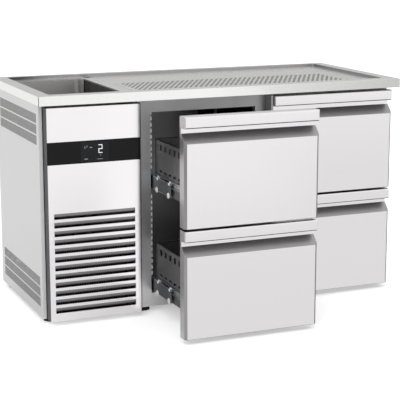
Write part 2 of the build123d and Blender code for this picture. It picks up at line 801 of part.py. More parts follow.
def fan_mount(centre, radius, facing, width, height):
    """Plate with a ring round the fan, and a motor on struts whose shaft carries the hub."""
    x, y, z = centre
    along = (0, facing, 0)
    ring_radius = radius + fan_tip_gap
    plate_y = y - facing * (shroud_sheet + fan_gap)
    motor_y = y + facing * (fan_depth + fan_gap)
    plate = block(x - width / 2, x + width / 2, *sorted((plate_y, plate_y + facing * shroud_sheet)),
                  z - height / 2, z + height / 2)
    ring_length = shroud_sheet + fan_gap + fan_depth + fan_gap + strut_depth
    ring = pipe((x, plate_y, z), along, ring_radius + ring_wall, ring_wall, ring_length)
    mount = plate - rod((x, plate_y, z), along, ring_radius, shroud_sheet) + ring
    mount += rod((x, motor_y, z), along, radius * motor_share, motor_length)
    mount += rod(centre, along, shaft_radius, fan_depth + fan_gap)
    reach = ring_radius + ring_wall / 2
    strut = Pos(reach / 2, 0, 0) * Box(reach, strut_depth, strut_width)
    for index in range(strut_count):
        turned = Rot(0, 360 * index / strut_count, 0) * strut
        mount += Pos(x, motor_y + facing * strut_depth / 2, z) * turned
    return mount


condenser_fan_centre = (condenser_left + condenser_width / 2,
                        condenser_front + condenser_depth + shroud_sheet + fan_gap,
                        base_top + condenser_height / 2)
evaporator_fan_centre = ((liner_left + liner_right) / 2,
                         evaporator_cover_plane - shroud_sheet - fan_gap,
                         liner_ceiling - evaporator_fan_drop)


def evaporator_cover():
    """Sheet in front of the evaporator, with the fan's air hole and a bottom return."""
    x, _, z = evaporator_fan_centre
    low = liner_floor + evaporator_cover_rise
    plane = evaporator_cover_plane
    sheet = block(liner_left, liner_right, plane, plane + evaporator_cover_sheet, low, liner_ceiling)
    hole = rod((x, plane, z), (0, 1, 0), evaporator_fan_radius + fan_tip_gap, evaporator_cover_sheet)
    shelf = block(liner_left, liner_right, plane + evaporator_cover_sheet, (plane + liner_back) / 2,
                  low, low + evaporator_cover_sheet)
    return sheet - hole, shelf


def refrigerant_lines():
    """Suction and discharge pipes between compressor, evaporator and condenser."""
    evaporator_end = liner_left + evaporator_inset
    suction_start = compressor_y + compressor_radius + line_stub_length
    suction = FilletPolyline((compressor_x, suction_start, stub_z), (compressor_x, line_y, stub_z),
                             (compressor_x, line_y, line_z), (evaporator_end, line_y, line_z),
                             radius=line_bend)
    discharge_x = compressor_x - discharge_offset
    condenser_y = condenser_front + condenser_depth / 2
    bridge_z = max(pot_top, condenser_top) + line_stub_length + line_bend
    discharge = FilletPolyline((discharge_x, compressor_y, pot_top + line_stub_length),
                               (discharge_x, compressor_y, bridge_z), (discharge_x, condenser_y, bridge_z),
                               (discharge_x, condenser_y, condenser_top - condenser_end_lap),
                               radius=line_bend)
    return [sweep(Plane(path @ 0, z_dir=path % 0) * Circle(line_radius), path=path)
            for path in (suction, discharge)]


# Slides

def rail_uprights():
    """Perforated strips that carry the cabinet rails, front and back on both sides of each column."""
    fronts = (cabinet_rail_front, cabinet_rail_front + cabinet_rail_length - upright_width)
    count = int((liner_ceiling - liner_floor) // upright_hole_pitch)
    strips = []
    for column in (left_column, right_column):
        for side in (-1, 1):
            x0, _ = slide_span(column, side, 0, upright_depth)
            for y in fronts:
                middle = y + upright_width / 2
                holes = []
                for index in range(count):
                    z = liner_floor + (index + 0.5) * upright_hole_pitch
                    holes.append(((middle - upright_hole_width / 2, z),
                                  (middle + upright_hole_width / 2, z + upright_hole_height)))
                strips.append(holed_side(x0, upright_depth, (y, liner_floor),
                                         (y + upright_width, liner_ceiling), holes))
    return strips


def channel(column, side, outer, hollow, y0, y1, z):
    """C channel round a row of rollers; its body and hollow are distances from the cell's wall."""
    x0, x1 = slide_span(column, side, *outer)
    h0, h1 = slide_span(column, side, *hollow)
    body = block(x0, x1, y0, y1, z - channel_half, z + channel_half)
    return body - block(h0, h1, y0, y1, z - channel_half + rail_sheet, z + channel_half - rail_sheet)


def tub_bottom(tier):
    """Height of a tub's underside, tier 0 being the lower drawers."""
    return opening_bottom + tub_lift + tier * tier_pitch


def cabinet_rails():
    """Fixed channels on the uprights, two for each drawer."""
    y0 = cabinet_rail_front
    outer = (upright_depth, lower_roller_out)
    hollow = (rail_face, lower_roller_out)
    return [channel(column, side, outer, hollow, y0, y0 + cabinet_rail_length,
                    tub_bottom(tier) + cabinet_rail_rise)
            for column in (left_column, right_column) for tier in (0, 1) for side in (-1, 1)]


def roller(column, side, near, far, stub_to, y, z):
    """Roller with a short axle stub that reaches the carriage plate."""
    x0, x1 = slide_span(column, side, near, far)
    wheel = rod((x0, y, z), (1, 0, 0), roller_radius, x1 - x0)
    s0, s1 = slide_span(column, side, *sorted((stub_to, near if stub_to < near else far)))
    return wheel + rod((s0, y, z), (1, 0, 0), axle_radius, s1 - s0)


def slide_carriages(column, tier):
    """Plates between cabinet and drawer rails, each with two rows of rollers."""
    low = tub_bottom(tier) + cabinet_rail_rise
    high = tub_bottom(tier) + drawer_rail_rise
    step = (carriage_length - 2 * roller_inset) / (roller_count - 1)
    pieces = []
    for side in (-1, 1):
        x0, x1 = slide_span(column, side, carriage_in, carriage_out)
        pieces.append(block(x0, x1, carriage_front, carriage_front + carriage_length,
                            low - carriage_margin, high + carriage_margin))
        for index in range(roller_count):
            y = carriage_front + roller_inset + index * step
            pieces.append(roller(column, side, lower_roller_in, lower_roller_out, carriage_in, y, low))
            pieces.append(roller(column, side, upper_roller_in, upper_roller_out, carriage_out, y, high))
    return pieces


def drawer_rails(column, tier):
    """Channels on the tub's sides."""
    z = tub_bottom(tier) + drawer_rail_rise
    outer = (upper_roller_in, tub_offset)
    hollow = (upper_roller_in, drawer_rail_web)
    return [channel(column, side, outer, hollow, drawer_rail_front, tub_back, z) for side in (-1, 1)]


# Drawers

def front_levels(tier):
    """Heights of a front's top, lip underside, recess back foot, panel top and bottom."""
    bottom = carcass_bottom + tier * tier_pitch
    top = bottom + front_height
    lip = top - lip_height
    return top, lip, lip - recess_back_height, lip - recess_height, bottom


def slope_rise():
    """Rise of the recess's sloping sheet for each millimetre of depth, and its upright thickness."""
    slope = (recess_height - recess_back_height) / recess_depth
    return slope, skin_sheet * math.hypot(1, slope)


def chamfer_cuts(column, size, inset, z0, z1):
    """Corner prisms that chamfer a front's upright edges, at a distance inside its outline."""
    x0 = column + inset
    x1 = column + front_width - inset
    y = front_plane + inset
    left = prism_up([(x0, y), (x0 + size, y), (x0, y + size)], z0, z1)
    right = prism_up([(x1, y), (x1 - size, y), (x1, y + size)], z0, z1)
    return left + right


def front_body(column, tier, inset, size):
    """The space inside a front below its lip, at a distance inside its front, sides and bottom."""
    _, lip, recess_foot, panel_top, bottom = front_levels(tier)
    slope, drop = slope_rise()
    face = front_plane + inset
    recess_back = front_plane + recess_depth + skin_sheet
    back = front_back - skin_sheet
    outline = [(recess_back, lip), (back, lip), (back, bottom + inset), (face, bottom + inset),
               (face, panel_top - drop + inset * slope),
               (recess_back, panel_top - drop + (recess_depth + skin_sheet) * slope)]
    body = prism_along_x(outline, column + inset, column + front_width - inset)
    return body - chamfer_cuts(column, size, inset, bottom, lip)


def inner_chamfer():
    """Chamfer of the inside of a front, so that its sheet keeps its thickness at the corner."""
    return front_chamfer - skin_sheet * (2 - math.sqrt(2))


def front_panel(column, tier):
    """Steel pan with chamfered edges, and the inner sheet at its back."""
    top, _, _, _, bottom = front_levels(tier)
    pan = front_body(column, tier, 0, front_chamfer) - front_insulation(column, tier)
    inner = block(column, column + front_width, front_back - skin_sheet, front_back, bottom, top)
    return pan, inner


def front_insulation(column, tier):
    """Foam that fills the pan behind the grip recess."""
    return front_body(column, tier, skin_sheet, inner_chamfer())


def grip_profile(column, tier):
    """Hollow lip along the top edge, and the sheet that forms the finger recess below it."""
    top, lip, recess_foot, panel_top, _ = front_levels(tier)
    slope, drop = slope_rise()
    right = column + front_width
    back = front_back - skin_sheet
    tube = block(column, right, front_plane, back, lip, top)
    tube -= block(column + skin_sheet, right - skin_sheet, front_plane + skin_sheet, back - skin_sheet,
                  lip + skin_sheet, top - skin_sheet)
    strip = front_plane + recess_depth
    sheet = [(strip, lip), (strip, recess_foot), (front_plane, panel_top), (front_plane, panel_top - drop),
             (strip + skin_sheet, panel_top - drop + (recess_depth + skin_sheet) * slope),
             (strip + skin_sheet, lip)]
    recess = prism_along_x(sheet, column, right)
    recess -= chamfer_cuts(column, front_chamfer, 0, panel_top - drop, lip)
    return tube + recess


def gasket(column, tier):
    """Sealing ring on the back of a front."""
    top, _, _, _, bottom = front_levels(tier)
    x0, x1 = column + gasket_inset, column + front_width - gasket_inset
    z0, z1 = bottom + gasket_inset, top - gasket_inset
    y0, y1 = front_back, front_back + gasket_depth
    hole = block(x0 + gasket_width, x1 - gasket_width, y0, y1, z0 + gasket_width, z1 - gasket_width)
    return block(x0, x1, y0, y1, z0, z1) - hole


def tub_side_holes(bottom):
    """Square holes below the tub's top edge and notches above its rail."""
    count = int((tub_length - tub_hole_pitch) // tub_hole_pitch)
    first = front_back + (tub_length - (count - 1) * tub_hole_pitch) / 2
    top = bottom + tub_height
    holes = []
    for index in range(count):
        y = first + index * tub_hole_pitch
        holes.append(((y - tub_hole / 2, top - tub_hole_fall - tub_hole / 2),
                      (y + tub_hole / 2, top - tub_hole_fall + tub_hole / 2)))
        holes.append(((y - tub_notch_width / 2, bottom + tub_notch_rise),
                      (y + tub_notch_width / 2, bottom + tub_notch_rise + tub_notch_height)))
    return holes


def tub(column, tier):
    """Open-topped tub of sheet steel with perforated sides."""
    low = tub_bottom(tier)
    high = low + tub_height
    x0, _ = slide_span(column, -1, tub_offset, tub_offset)
    _, x1 = slide_span(column, 1, tub_offset, tub_offset)
    holes = tub_side_holes(low)
    left = holed_side(x0, tub_sheet, (front_back, low), (tub_back, high), holes)
    right = holed_side(x1 - tub_sheet, tub_sheet, (front_back, low), (tub_back, high), holes)
    floor = block(x0, x1, front_back, tub_back, low, low + tub_sheet)
    front = block(x0, x1, front_back, front_back + tub_sheet, low, high)
    back = block(x0, x1, tub_back - tub_sheet, tub_back, low, high)
    return left + right + floor + front + back


def save_drawer(name, column, tier, pulled):
    """Write the nodes of one drawer and its slide carriages, pulled out by a distance."""
    out = Pos(0, -pulled, 0)
    half_out = Pos(0, -pulled / 2, 0)
    save(f"{name}_front_panel", *[out * piece for piece in front_panel(column, tier)])
    save(f"{name}_front_insulation", out * front_insulation(column, tier))
    save(f"{name}_grip_profile", out * grip_profile(column, tier))
    save(f"{name}_gasket", out * gasket(column, tier))
    save(f"{name}_tub", out * tub(column, tier))
    save(f"{name}_drawer_rails", *[out * piece for piece in drawer_rails(column, tier)])
    save(f"{name}_slide_carriages", *[half_out * piece for piece in slide_carriages(column, tier)])


os.makedirs("parts", exist_ok=True)

save("worktop", *worktop())
save("sink_bowl", *sink_bowl())
save("sink_waste", sink_waste())
save("drip_well", *drip_well())
save("drip_grid", drip_grid())
save("left_side_panel", *left_side_panel())
save("right_side_panel", right_side_panel())
save("back_panel", back_panel())
save("base_pan", *base_pan())
save("face_frame", *face_frame())
save("cold_liner", *cold_liner())
save("wall_insulation", *wall_insulation())
save("machine_cover", machine_cover())
save("control_fascia", control_fascia())
save("controller", controller())
save("compressor", *compressor())
save("condenser", condenser())
save("condenser_fan_shroud", fan_mount(condenser_fan_centre, condenser_fan_radius, 1,
                                       condenser_width, condenser_height))
save("condenser_fan", fan(condenser_fan_centre, condenser_fan_radius, 1))
save("evaporator", evaporator())
save("evaporator_cover", *evaporator_cover())
save("evaporator_fan_housing", fan_mount(evaporator_fan_centre, evaporator_fan_radius, -1,
                                         evaporator_fan_box, evaporator_fan_box))
save("evaporator_fan", fan(evaporator_fan_centre, evaporator_fan_radius, -1))
save("refrigerant_lines", *refrigerant_lines())
save("rail_uprights", *rail_uprights())
save("cabinet_rails", *cabinet_rails())
for foot_name, foot_spot in foot_spots().items():
    save(foot_name, foot(foot_spot))
columns = (("left", left_column, drawer_open), ("right", right_column, 0))
for column_name, column_left, pulled_out in columns:
    for tier_name, tier_index in (("lower", 0), ("upper", 1)):
        save_drawer(f"{tier_name}_{column_name}", column_left, tier_index, pulled_out)
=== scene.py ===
import json
import math

import bmesh
import bpy
from mathutils import Matrix, Vector


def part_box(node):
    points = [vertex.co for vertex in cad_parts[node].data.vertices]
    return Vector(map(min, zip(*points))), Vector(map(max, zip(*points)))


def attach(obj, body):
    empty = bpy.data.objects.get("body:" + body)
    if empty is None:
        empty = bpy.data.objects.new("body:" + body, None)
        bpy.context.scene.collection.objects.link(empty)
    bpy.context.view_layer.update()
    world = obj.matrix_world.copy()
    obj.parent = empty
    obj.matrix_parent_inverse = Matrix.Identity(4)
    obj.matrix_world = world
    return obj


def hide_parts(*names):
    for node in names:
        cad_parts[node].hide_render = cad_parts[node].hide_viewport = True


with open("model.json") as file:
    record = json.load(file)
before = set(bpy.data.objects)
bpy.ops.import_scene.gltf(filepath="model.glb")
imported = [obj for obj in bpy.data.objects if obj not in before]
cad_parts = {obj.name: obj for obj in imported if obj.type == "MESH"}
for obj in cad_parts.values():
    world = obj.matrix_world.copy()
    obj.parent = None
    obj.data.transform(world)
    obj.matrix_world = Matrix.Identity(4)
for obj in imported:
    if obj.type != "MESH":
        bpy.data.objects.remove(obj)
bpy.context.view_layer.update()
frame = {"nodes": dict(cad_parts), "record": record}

MM = 0.001
NEAR = MM / 10  # points this close lie on one line
MERGE = MM / 100  # points this close become one
DRAWERS = ("upper_left", "lower_left", "upper_right", "lower_right")

# Camera, solved from the straight edges of the counter in the photograph
camera_place = (-2.0956, -4.8318, 1.5232)
camera_yaw = math.radians(22.82)
camera_pitch = math.radians(11.855)
camera_lens = 117.81
camera_sensor = 36.0

# Drawer fronts
lip_height = 45 * MM
recess_height = 55 * MM
recess_depth = 36 * MM
recess_back_height = 20 * MM
front_chamfer = 9 * MM
fold_radius = 1.5 * MM
lip_radius = 1.5 * MM
front_trim = 2 * MM
lip_roll = 6 * MM

# Machine cover
cover_sheet = 1.2 * MM
cover_shadow_width = 4 * MM
louvre_count = 12
louvre_left = 21 * MM
louvre_right = 23 * MM
louvre_rise = 32 * MM
louvre_pitch = 33.8 * MM
louvre_slot = 22 * MM
louvre_blade_fall = 15 * MM
louvre_blade_reach = 8 * MM

# Control strip and display; a mark is its x from the window's left, its z from the strip's foot, its width
# and its height, all in millimetres
window_flange = 6 * MM
window_edge = 5 * MM
digit_left = 71 * MM
digit_foot = 36 * MM
digit_height = 33 * MM
digit_width = 16 * MM
digit_stroke = 3.0 * MM
digit_relief = 0.3 * MM
mark_relief = 0.2 * MM
display_marks = ((16, 55, 2, 11), (24, 60, 2, 8), (36, 58, 10, 3),
                 (14, 14, 14, 3), (66, 12, 22, 2), (78, 26, 3, 3))

# Slides and tubs
roller_radius = 11 * MM
roller_width = 5 * MM
roller_inset = 18 * MM
roller_count = 4
roller_flank = 0.8
roller_tread = 0.6
roller_gap = 0.5 * MM
roller_steps = 20
axle_radius = 4 * MM
carriage_sheet = 2 * MM
carriage_margin = 5 * MM
carriage_fold = 3 * MM
carriage_fold_sheet = 0.4 * MM
carriage_edge = 0.4 * MM
cap_radius = 6 * MM
cap_taper = 0.7
cap_height = 2.5 * MM
cap_steps = 16
tub_hem = 3 * MM

# Trim on the cabinet's front, and dark strips there that are painted shadow
clip_pitch = 24 * MM
clip_gap = 9 * MM
clip_reach = 6 * MM
clip_width = 7 * MM
clip_sheet = 3 * MM
clip_clear = 6 * MM
corner_sheet = 0.8 * MM
corner_clear = 2 * MM
filler_clear = 2 * MM
filler_setback = 9 * MM
corner_gap = 8 * MM
corner_gap_inset = 0.5 * MM
corner_gap_sheet = 0.2 * MM
top_shadow_sheet = 2 * MM
top_shadow_gap = 3 * MM

# Painted shade that changes along the part, and the depth to which punched holes keep the face's finish
# before the painted shade on their walls
hole_edge = 0.15 * MM
frame_shade_ramp = (-260 * MM, 60 * MM)
skirt_shade_ramp = (-100 * MM, 775 * MM)
skirt_depth = 0.3 * MM
step_shade_ramp = (-540 * MM, -660 * MM)

# Crystals of the zinc, lines of the fins, and the radians that the wave texture turns in one unit
crystal_size = 14 * MM
fin_gap = 5 * MM
wave_turn = 20

# Shares of a face's normal along an axis, by which the faces of a piece get their finish
flat_share = 0.95
wall_share = 0.9
slope_share = 0.5
bend_share = 0.3
fold_share = 0.2
tilt_share = 0.1
smooth_limit = math.radians(35)

# Sink
sink_corner = 40 * MM
sink_floor_round = 20 * MM
sink_sheet = 1.2 * MM
sink_flange = 10 * MM
edge_roll = 4 * MM
edge_rises = (0.1 * MM, 0.8 * MM, 0.4 * MM)
corner_steps = 8

# Worktop
worktop_sheet = 2 * MM
rim_width = 52 * MM
back_rim_width = 30 * MM
field_corner = 12 * MM
step_gap = 0.6 * MM
tap_radius = 16.5 * MM
tap_to_sink = 31 * MM
tap_to_rim = 26 * MM
tap_shade_length = 30 * MM

# Fan guard
guard_wire = 1.6 * MM
guard_wire_steps = 6
guard_rings = 5
guard_ring_steps = 32
guard_hub = 0.2

# Back panel screws
screw_head = 5 * MM
screw_taper = 0.6
screw_height = 2 * MM
screw_steps = 12
screw_pitch = 180 * MM
screw_inset = 12 * MM
screw_drop = 60 * MM

# Studio
fill_strength = 0.8
floor_reach = 40.0
floor_glow = 0.06
floor_glow_seen = 0.42
key_towards = (0.5, 0.6, -0.8)
key_spread = math.radians(45)
key_strength = 0.9


def colour(code):
    """Linear colour of an sRGB hex code."""
    channels = [int(code[i:i + 2], 16) / 255 for i in (1, 3, 5)]
    linear = [c / 12.92 if c <= 0.04045 else ((c + 0.055) / 1.055) ** 2.4 for c in channels]
    return (*linear, 1.0)


def add_node(tree, kind, inputs, **settings):
    """A shader node with its settings, its plain values and its links."""
    made = tree.nodes.new(kind)
    for name, value in settings.items():
        setattr(made, name, value)
    for name, value in inputs.items():
        if isinstance(value, bpy.types.NodeSocket):
            tree.links.new(value, made.inputs[name])
        else:
            made.inputs[name].default_value = value
    return made


def plain(name, code, **values):
    """A material of one colour; values are set on the shader's own sockets."""
    material = bpy.data.materials.new(name)
    material.use_nodes = True
    shader = material.node_tree.nodes["Principled BSDF"]
    shader.inputs["Base Color"].default_value = colour(code)
    for socket, value in values.items():
        shader.inputs[socket.replace("_", " ")].default_value = value
    return material


def grained(name, dark, light, smooth, rough, grain, relief=0.0, **values):
    """A surface whose colour and polish vary.

    The grain is its size along X, Y and Z in millimetres, and the relief its depth.
    """
    material = plain(name, light, **values)
    tree = material.node_tree
    shader = tree.nodes["Principled BSDF"]
    place = add_node(tree, "ShaderNodeTexCoord", {})
    scratches = add_node(tree, "ShaderNodeMapping", {
        "Vector": place.outputs["Object"], "Scale": [1 / (length * MM) for length in grain]})
    lines = add_node(tree, "ShaderNodeTexNoise", {
        "Vector": scratches.outputs["Vector"], "Scale": 1.0, "Detail": 3.0, "Roughness": 0.6})
    depth = add_node(tree, "ShaderNodeMapRange", {
        "Value": lines.outputs["Fac"], "From Min": 0.3, "From Max": 0.7, "To Min": smooth, "To Max": rough})
    tint = add_node(tree, "ShaderNodeMix", {
        0: lines.outputs["Fac"], 6: colour(dark), 7: colour(light)}, data_type="RGBA")
    tree.links.new(depth.outputs["Result"], shader.inputs["Roughness"])
    tree.links.new(tint.outputs[2], shader.inputs["Base Color"])
    if relief:
        dents = add_node(tree, "ShaderNodeBump", {"Height": lines.outputs["Fac"], "Distance": relief * MM})
        tree.links.new(dents.outputs["Normal"], shader.inputs["Normal"])
    return material


def brushed(name, dark, light, smooth, rough, grain):
    """Rolled and brushed sheet; grain is the length of a scratch along X, Y and Z in millimetres."""
    return grained(name, dark, light, smooth, rough, grain, Metallic=1.0)


def shaded(material, code, *ramps):
    """Paints shade on a material: turns it to a darker colour along ramps, which multiply.

    A ramp is an axis with the places where the painted shade starts and where it is full.
    """
    tree = material.node_tree
    shader = tree.nodes["Principled BSDF"]
    face_colour = shader.inputs["Base Color"].links[0].from_socket
    place = add_node(tree, "ShaderNodeTexCoord", {})
    spot = add_node(tree, "ShaderNodeSeparateXYZ", {"Vector": place.outputs["Object"]})
    share = 1.0
    for axis, start, end in ramps:
        along = add_node(tree, "ShaderNodeMapRange", {
            "Value": spot.outputs[axis], "From Min": start, "From Max": end})
        product = add_node(tree, "ShaderNodeMath", {
            0: share, 1: along.outputs["Result"]}, operation="MULTIPLY")
        share = product.outputs[0]
    tint = add_node(tree, "ShaderNodeMix", {0: share, 6: face_colour, 7: colour(code)}, data_type="RGBA")
    tree.links.new(tint.outputs[2], shader.inputs["Base Color"])
    return material


def galvanised():
    """Hot-dip zinc on sheet steel: grey with faint crystal patches."""
    material = plain("galvanised_sheet", "#aeb0b2", Metallic=1.0)
    tree = material.node_tree
    shader = tree.nodes["Principled BSDF"]
    place = add_node(tree, "ShaderNodeTexCoord", {})
    crystals = add_node(tree, "ShaderNodeTexVoronoi", {
        "Vector": place.outputs["Object"], "Scale": 1 / crystal_size})
    patch = add_node(tree, "ShaderNodeSeparateColor", {"Color": crystals.outputs["Color"]})
    tint = add_node(tree, "ShaderNodeMix", {
        0: patch.outputs["Red"], 6: colour("#a9abad"), 7: colour("#b3b5b7")}, data_type="RGBA")
    polish = add_node(tree, "ShaderNodeMapRange", {
        "Value": patch.outputs["Green"], "To Min": 0.42, "To Max": 0.48})
    tree.links.new(tint.outputs[2], shader.inputs["Base Color"])
    tree.links.new(polish.outputs["Result"], shader.inputs["Roughness"])
    return material


def finned():
    """Pressed aluminium fins, painted almost black as shade behind the louvres: light and dark lines in turn
    along X, drawn wide to show.
    """
    material = plain("painted_shade_aluminium_fins", "#2c2d2e", Metallic=1.0, Roughness=0.4)
    tree = material.node_tree
    shader = tree.nodes["Principled BSDF"]
    place = add_node(tree, "ShaderNodeTexCoord", {})
    fins = add_node(tree, "ShaderNodeTexWave", {
        "Vector": place.outputs["Object"], "Scale": math.pi / (fin_gap * wave_turn)}, bands_direction="X")
    tint = add_node(tree, "ShaderNodeMix", {
        0: fins.outputs["Fac"], 6: colour("#141516"), 7: colour("#4c4e50")}, data_type="RGBA")
    tree.links.new(tint.outputs[2], shader.inputs["Base Color"])
    return material


# Brushed stainless worktop: faint streaks along its length; its front edge is painted darker towards the
# right, as shade.
skirt_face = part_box("worktop")[0].y
worktop_steel = shaded(brushed("brushed_stainless_worktop", "#f1f1f0", "#f5f5f4", 0.26, 0.30, (260, 3, 3)),
                       "#cdcdcc", ("X", *skirt_shade_ramp),
                       ("Y", skirt_face + 2 * skirt_depth, skirt_face + skirt_depth))
# Finely brushed stainless fronts: almost white in a white room. Real scratches are a fifth of a millimetre
# wide; here they are 1.5 mm, so that they just show close up.
front_steel = brushed("fine_brushed_stainless_front", "#f3f1f2", "#f4f2f3", 0.275, 0.285, (1.5, 1.5, 250))
# Finely brushed stainless of the machine cover, like the fronts.
outer_steel = brushed("fine_brushed_stainless_cover", "#f8f6f7", "#f9f7f8", 0.275, 0.285, (1.5, 1.5, 250))
# The same sheet on the side panels: a shade greyer, painted shade.
side_shade_steel = brushed("fine_brushed_stainless_side", "#d3d2d2", "#d7d6d6", 0.28, 0.33, (1.5, 1.5, 250))
# The vented panel is the same greyer sheet, with painted shade on the walls of its punched slots.
panel_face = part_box("left_side_panel")[0].x
vented_steel = shaded(brushed("punched_stainless_side", "#d3d2d2", "#d7d6d6", 0.28, 0.33, (1.5, 1.5, 250)),
                      "#39393a", ("X", panel_face + hole_edge / 2, panel_face + hole_edge))
# The drip grid is worktop sheet, with painted shade on the walls of its punched holes.
grid_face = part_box("drip_grid")[1].z
grid_steel = shaded(brushed("punched_stainless_grid", "#f1f1f0", "#f5f5f4", 0.26, 0.30, (260, 3, 3)),
                    "#39393a", ("Z", grid_face - hole_edge / 2, grid_face - hole_edge))
# Folded returns and slopes, brushed crosswise: a mid-grey that is painted shade.
fold_shade_steel = brushed("painted_shade_stainless_fold", "#a2a0a1", "#aaa8a9", 0.32, 0.40, (250, 2, 2))
# The step round the worktop's field: painted shade, darker still where it lies in the corner's shade behind
# the sink.
step_steel = shaded(brushed("painted_shade_stainless_step", "#a2a0a1", "#aaa8a9", 0.32, 0.40, (250, 2, 2)),
                    "#58585a", ("X", *step_shade_ramp))
# Louvre blades and the lips' undersides, brushed along their length: mid-grey, darker than the sheet beside
# them as painted shade.
blade_shade_steel = brushed("painted_shade_stainless_blade", "#878586", "#8f8d8e", 0.32, 0.40, (250, 2, 2))
# Bead-blasted corner strip: pale and almost matt.
corner_steel = grained("bead_blasted_stainless", "#f0efef", "#f8f7f7", 0.56, 0.64, (1, 1, 1), Metallic=0.6)
# Sides of the cover and right edges of the fronts: dark grey, painted shade.
return_steel = brushed("painted_shade_stainless_return", "#58585b", "#606063", 0.40, 0.48, (2, 2, 250))
# Deep-drawn stainless of the sink: matt satin and a little warm, darker than the worktop's sheet as painted
# shade inside the bowl, and darker towards its floor.
sink_steel = brushed("deep_drawn_stainless", "#cfcdcc", "#d2d0cf", 0.40, 0.46, (2, 2, 200))
# End walls of the sink: darker, painted shade.
sink_end_shade_steel = brushed("painted_shade_stainless_sink_end", "#5c5a59", "#626060", 0.24, 0.28, (2, 2, 200))
# Corners of the sink: pale, a painted highlight.
sink_corner_highlight_steel = brushed("painted_highlight_stainless_sink_corner", "#f6f4f3", "#f9f7f6", 0.30, 0.36, (2, 2, 200))
# Sides of the drawer fronts: greyer than the fronts, painted shade.
flank_shade_steel = brushed("painted_shade_stainless_flank", "#bfbebe", "#c6c5c5", 0.28, 0.34, (1.5, 1.5, 250))
# Walls of the drip well: dark grey, cloudy, painted shade.
shade_steel = brushed("painted_shade_stainless_well", "#4e4e4f", "#5e5e5f", 0.36, 0.46, (25, 25, 25))
# Undersides of the fronts, turned edges of their lips and open corners of the worktop's edge: almost black,
# painted shade.
gap_shade_steel = brushed("painted_shade_stainless_underside", "#2c2c2d", "#363637", 0.42, 0.5, (40, 3, 3))
# Polished hem of the tubs: a bright line with faint polishing marks.
edge_steel = brushed("polished_stainless_edge", "#f3f3f3", "#f9f9f9", 0.13, 0.17, (8, 8, 2))
# Rolled edge of the sink: a thin grey line, painted shade.
roll_shade_steel = brushed("rolled_stainless_edge", "#8e8e8e", "#989898", 0.22, 0.28, (8, 8, 2))
# Satin stainless of the frame round the drawers: mid-grey, painted darker as shade where the fronts cover it.
frame_steel = shaded(brushed("satin_stainless_frame", "#ededee", "#f1f1f2", 0.34, 0.40, (2, 2, 200)),
                     "#9c9c9d", ("X", *frame_shade_ramp))
# Mill-finish stainless of the inside: duller, with a cloudy rolled surface, and painted darker as shade
# inside the cabinet.
inner_steel = brushed("mill_finish_stainless", "#b0b0b2", "#bababc", 0.36, 0.46, (60, 60, 200))
# Mill-finish stainless of the tubs: darker, painted shade inside the drawers.
tub_shade_steel = brushed("painted_shade_stainless_tub", "#747475", "#808082", 0.38, 0.5, (30, 120, 30))
# Zinc-plated slides, screws and fan guard: bright grey with a soft, cloudy sheen.
slide_steel = brushed("zinc_plated_steel", "#adafb1", "#bbbdbf", 0.26, 0.34, (8, 30, 8))
# Zinc-plated carriage plates: dark grey, painted shade between the rows of rollers, with streaks along the
# way they run.
carriage_shade_steel = brushed("painted_shade_zinc_plate", "#707173", "#7e7f81", 0.38, 0.46, (3, 60, 3))
# Chromed brass waste: mirror bright.
chrome = brushed("chromed_brass", "#dfe0e1", "#e5e6e7", 0.06, 0.1, (20, 20, 20))
# Rigid polyurethane foam: pale yellow and matt, with closed cells drawn 2 mm wide.
foam = grained("polyurethane_foam", "#cfbd8e", "#dfcfa4", 0.85, 0.95, (2, 2, 2), relief=0.3)
# Soft PVC seal: dark grey with a dull sheen; the same dark grey paints the shadow strips under the worktop's
# edge and beside the cover.
gasket_and_shadow_pvc = grained("soft_pvc_gasket_and_painted_shadow", "#28292b", "#303133", 0.55, 0.65, (3, 3, 3), relief=0.05)
# Acrylic control strip: black and glossy, with faint wiping marks.
strip_black = grained("black_acrylic", "#0d0d0e", "#0f0f10", 0.2, 0.24, (40, 8, 8), Specular_IOR_Level=0.18)
# Display glass over a dark panel: a little lighter than the strip.
display_glass = grained("display_glass", "#1c1e20", "#222425", 0.1, 0.14, (30, 8, 8), Specular_IOR_Level=0.15)
# Lit segments of the display: plain white.
lit_segment = plain("lit_segments", "#e8e8e8", Roughness=0.4,
                    Emission_Color=colour("#f4f4f4"), Emission_Strength=0.3)
# Printed marks on the display: light grey, unlit.
printed_mark = plain("printed_marks", "#9a9c9e", Roughness=0.4)
# Stoved enamel on the compressor: black, satin.
black_enamel = grained("black_enamel", "#131314", "#19191a", 0.36, 0.46, (4, 4, 4), relief=0.1)
# Glass-filled nylon of the fans: black and matt; the same black lines the tap hole as painted shade.
nylon_and_hole_shade = grained("black_nylon_and_painted_shade", "#191a1b", "#202122", 0.5, 0.6, (1.5, 1.5, 1.5), relief=0.05)
# Moulded acetal of the rollers and clips: white, slightly waxy.
roller_acetal = grained("white_acetal", "#e4e3de", "#edece8", 0.3, 0.4, (4, 4, 4))
# Drawn copper tube: warm, with a dull oxide.
copper = brushed("copper_tube", "#a5663f", "#c27f58", 0.32, 0.46, (18, 18, 18))
# Moulded polypropylene feet: black and matt.
foot_plastic = grained("black_polypropylene", "#1d1e1f", "#242526", 0.55, 0.65, (1.5, 1.5, 1.5), relief=0.05)

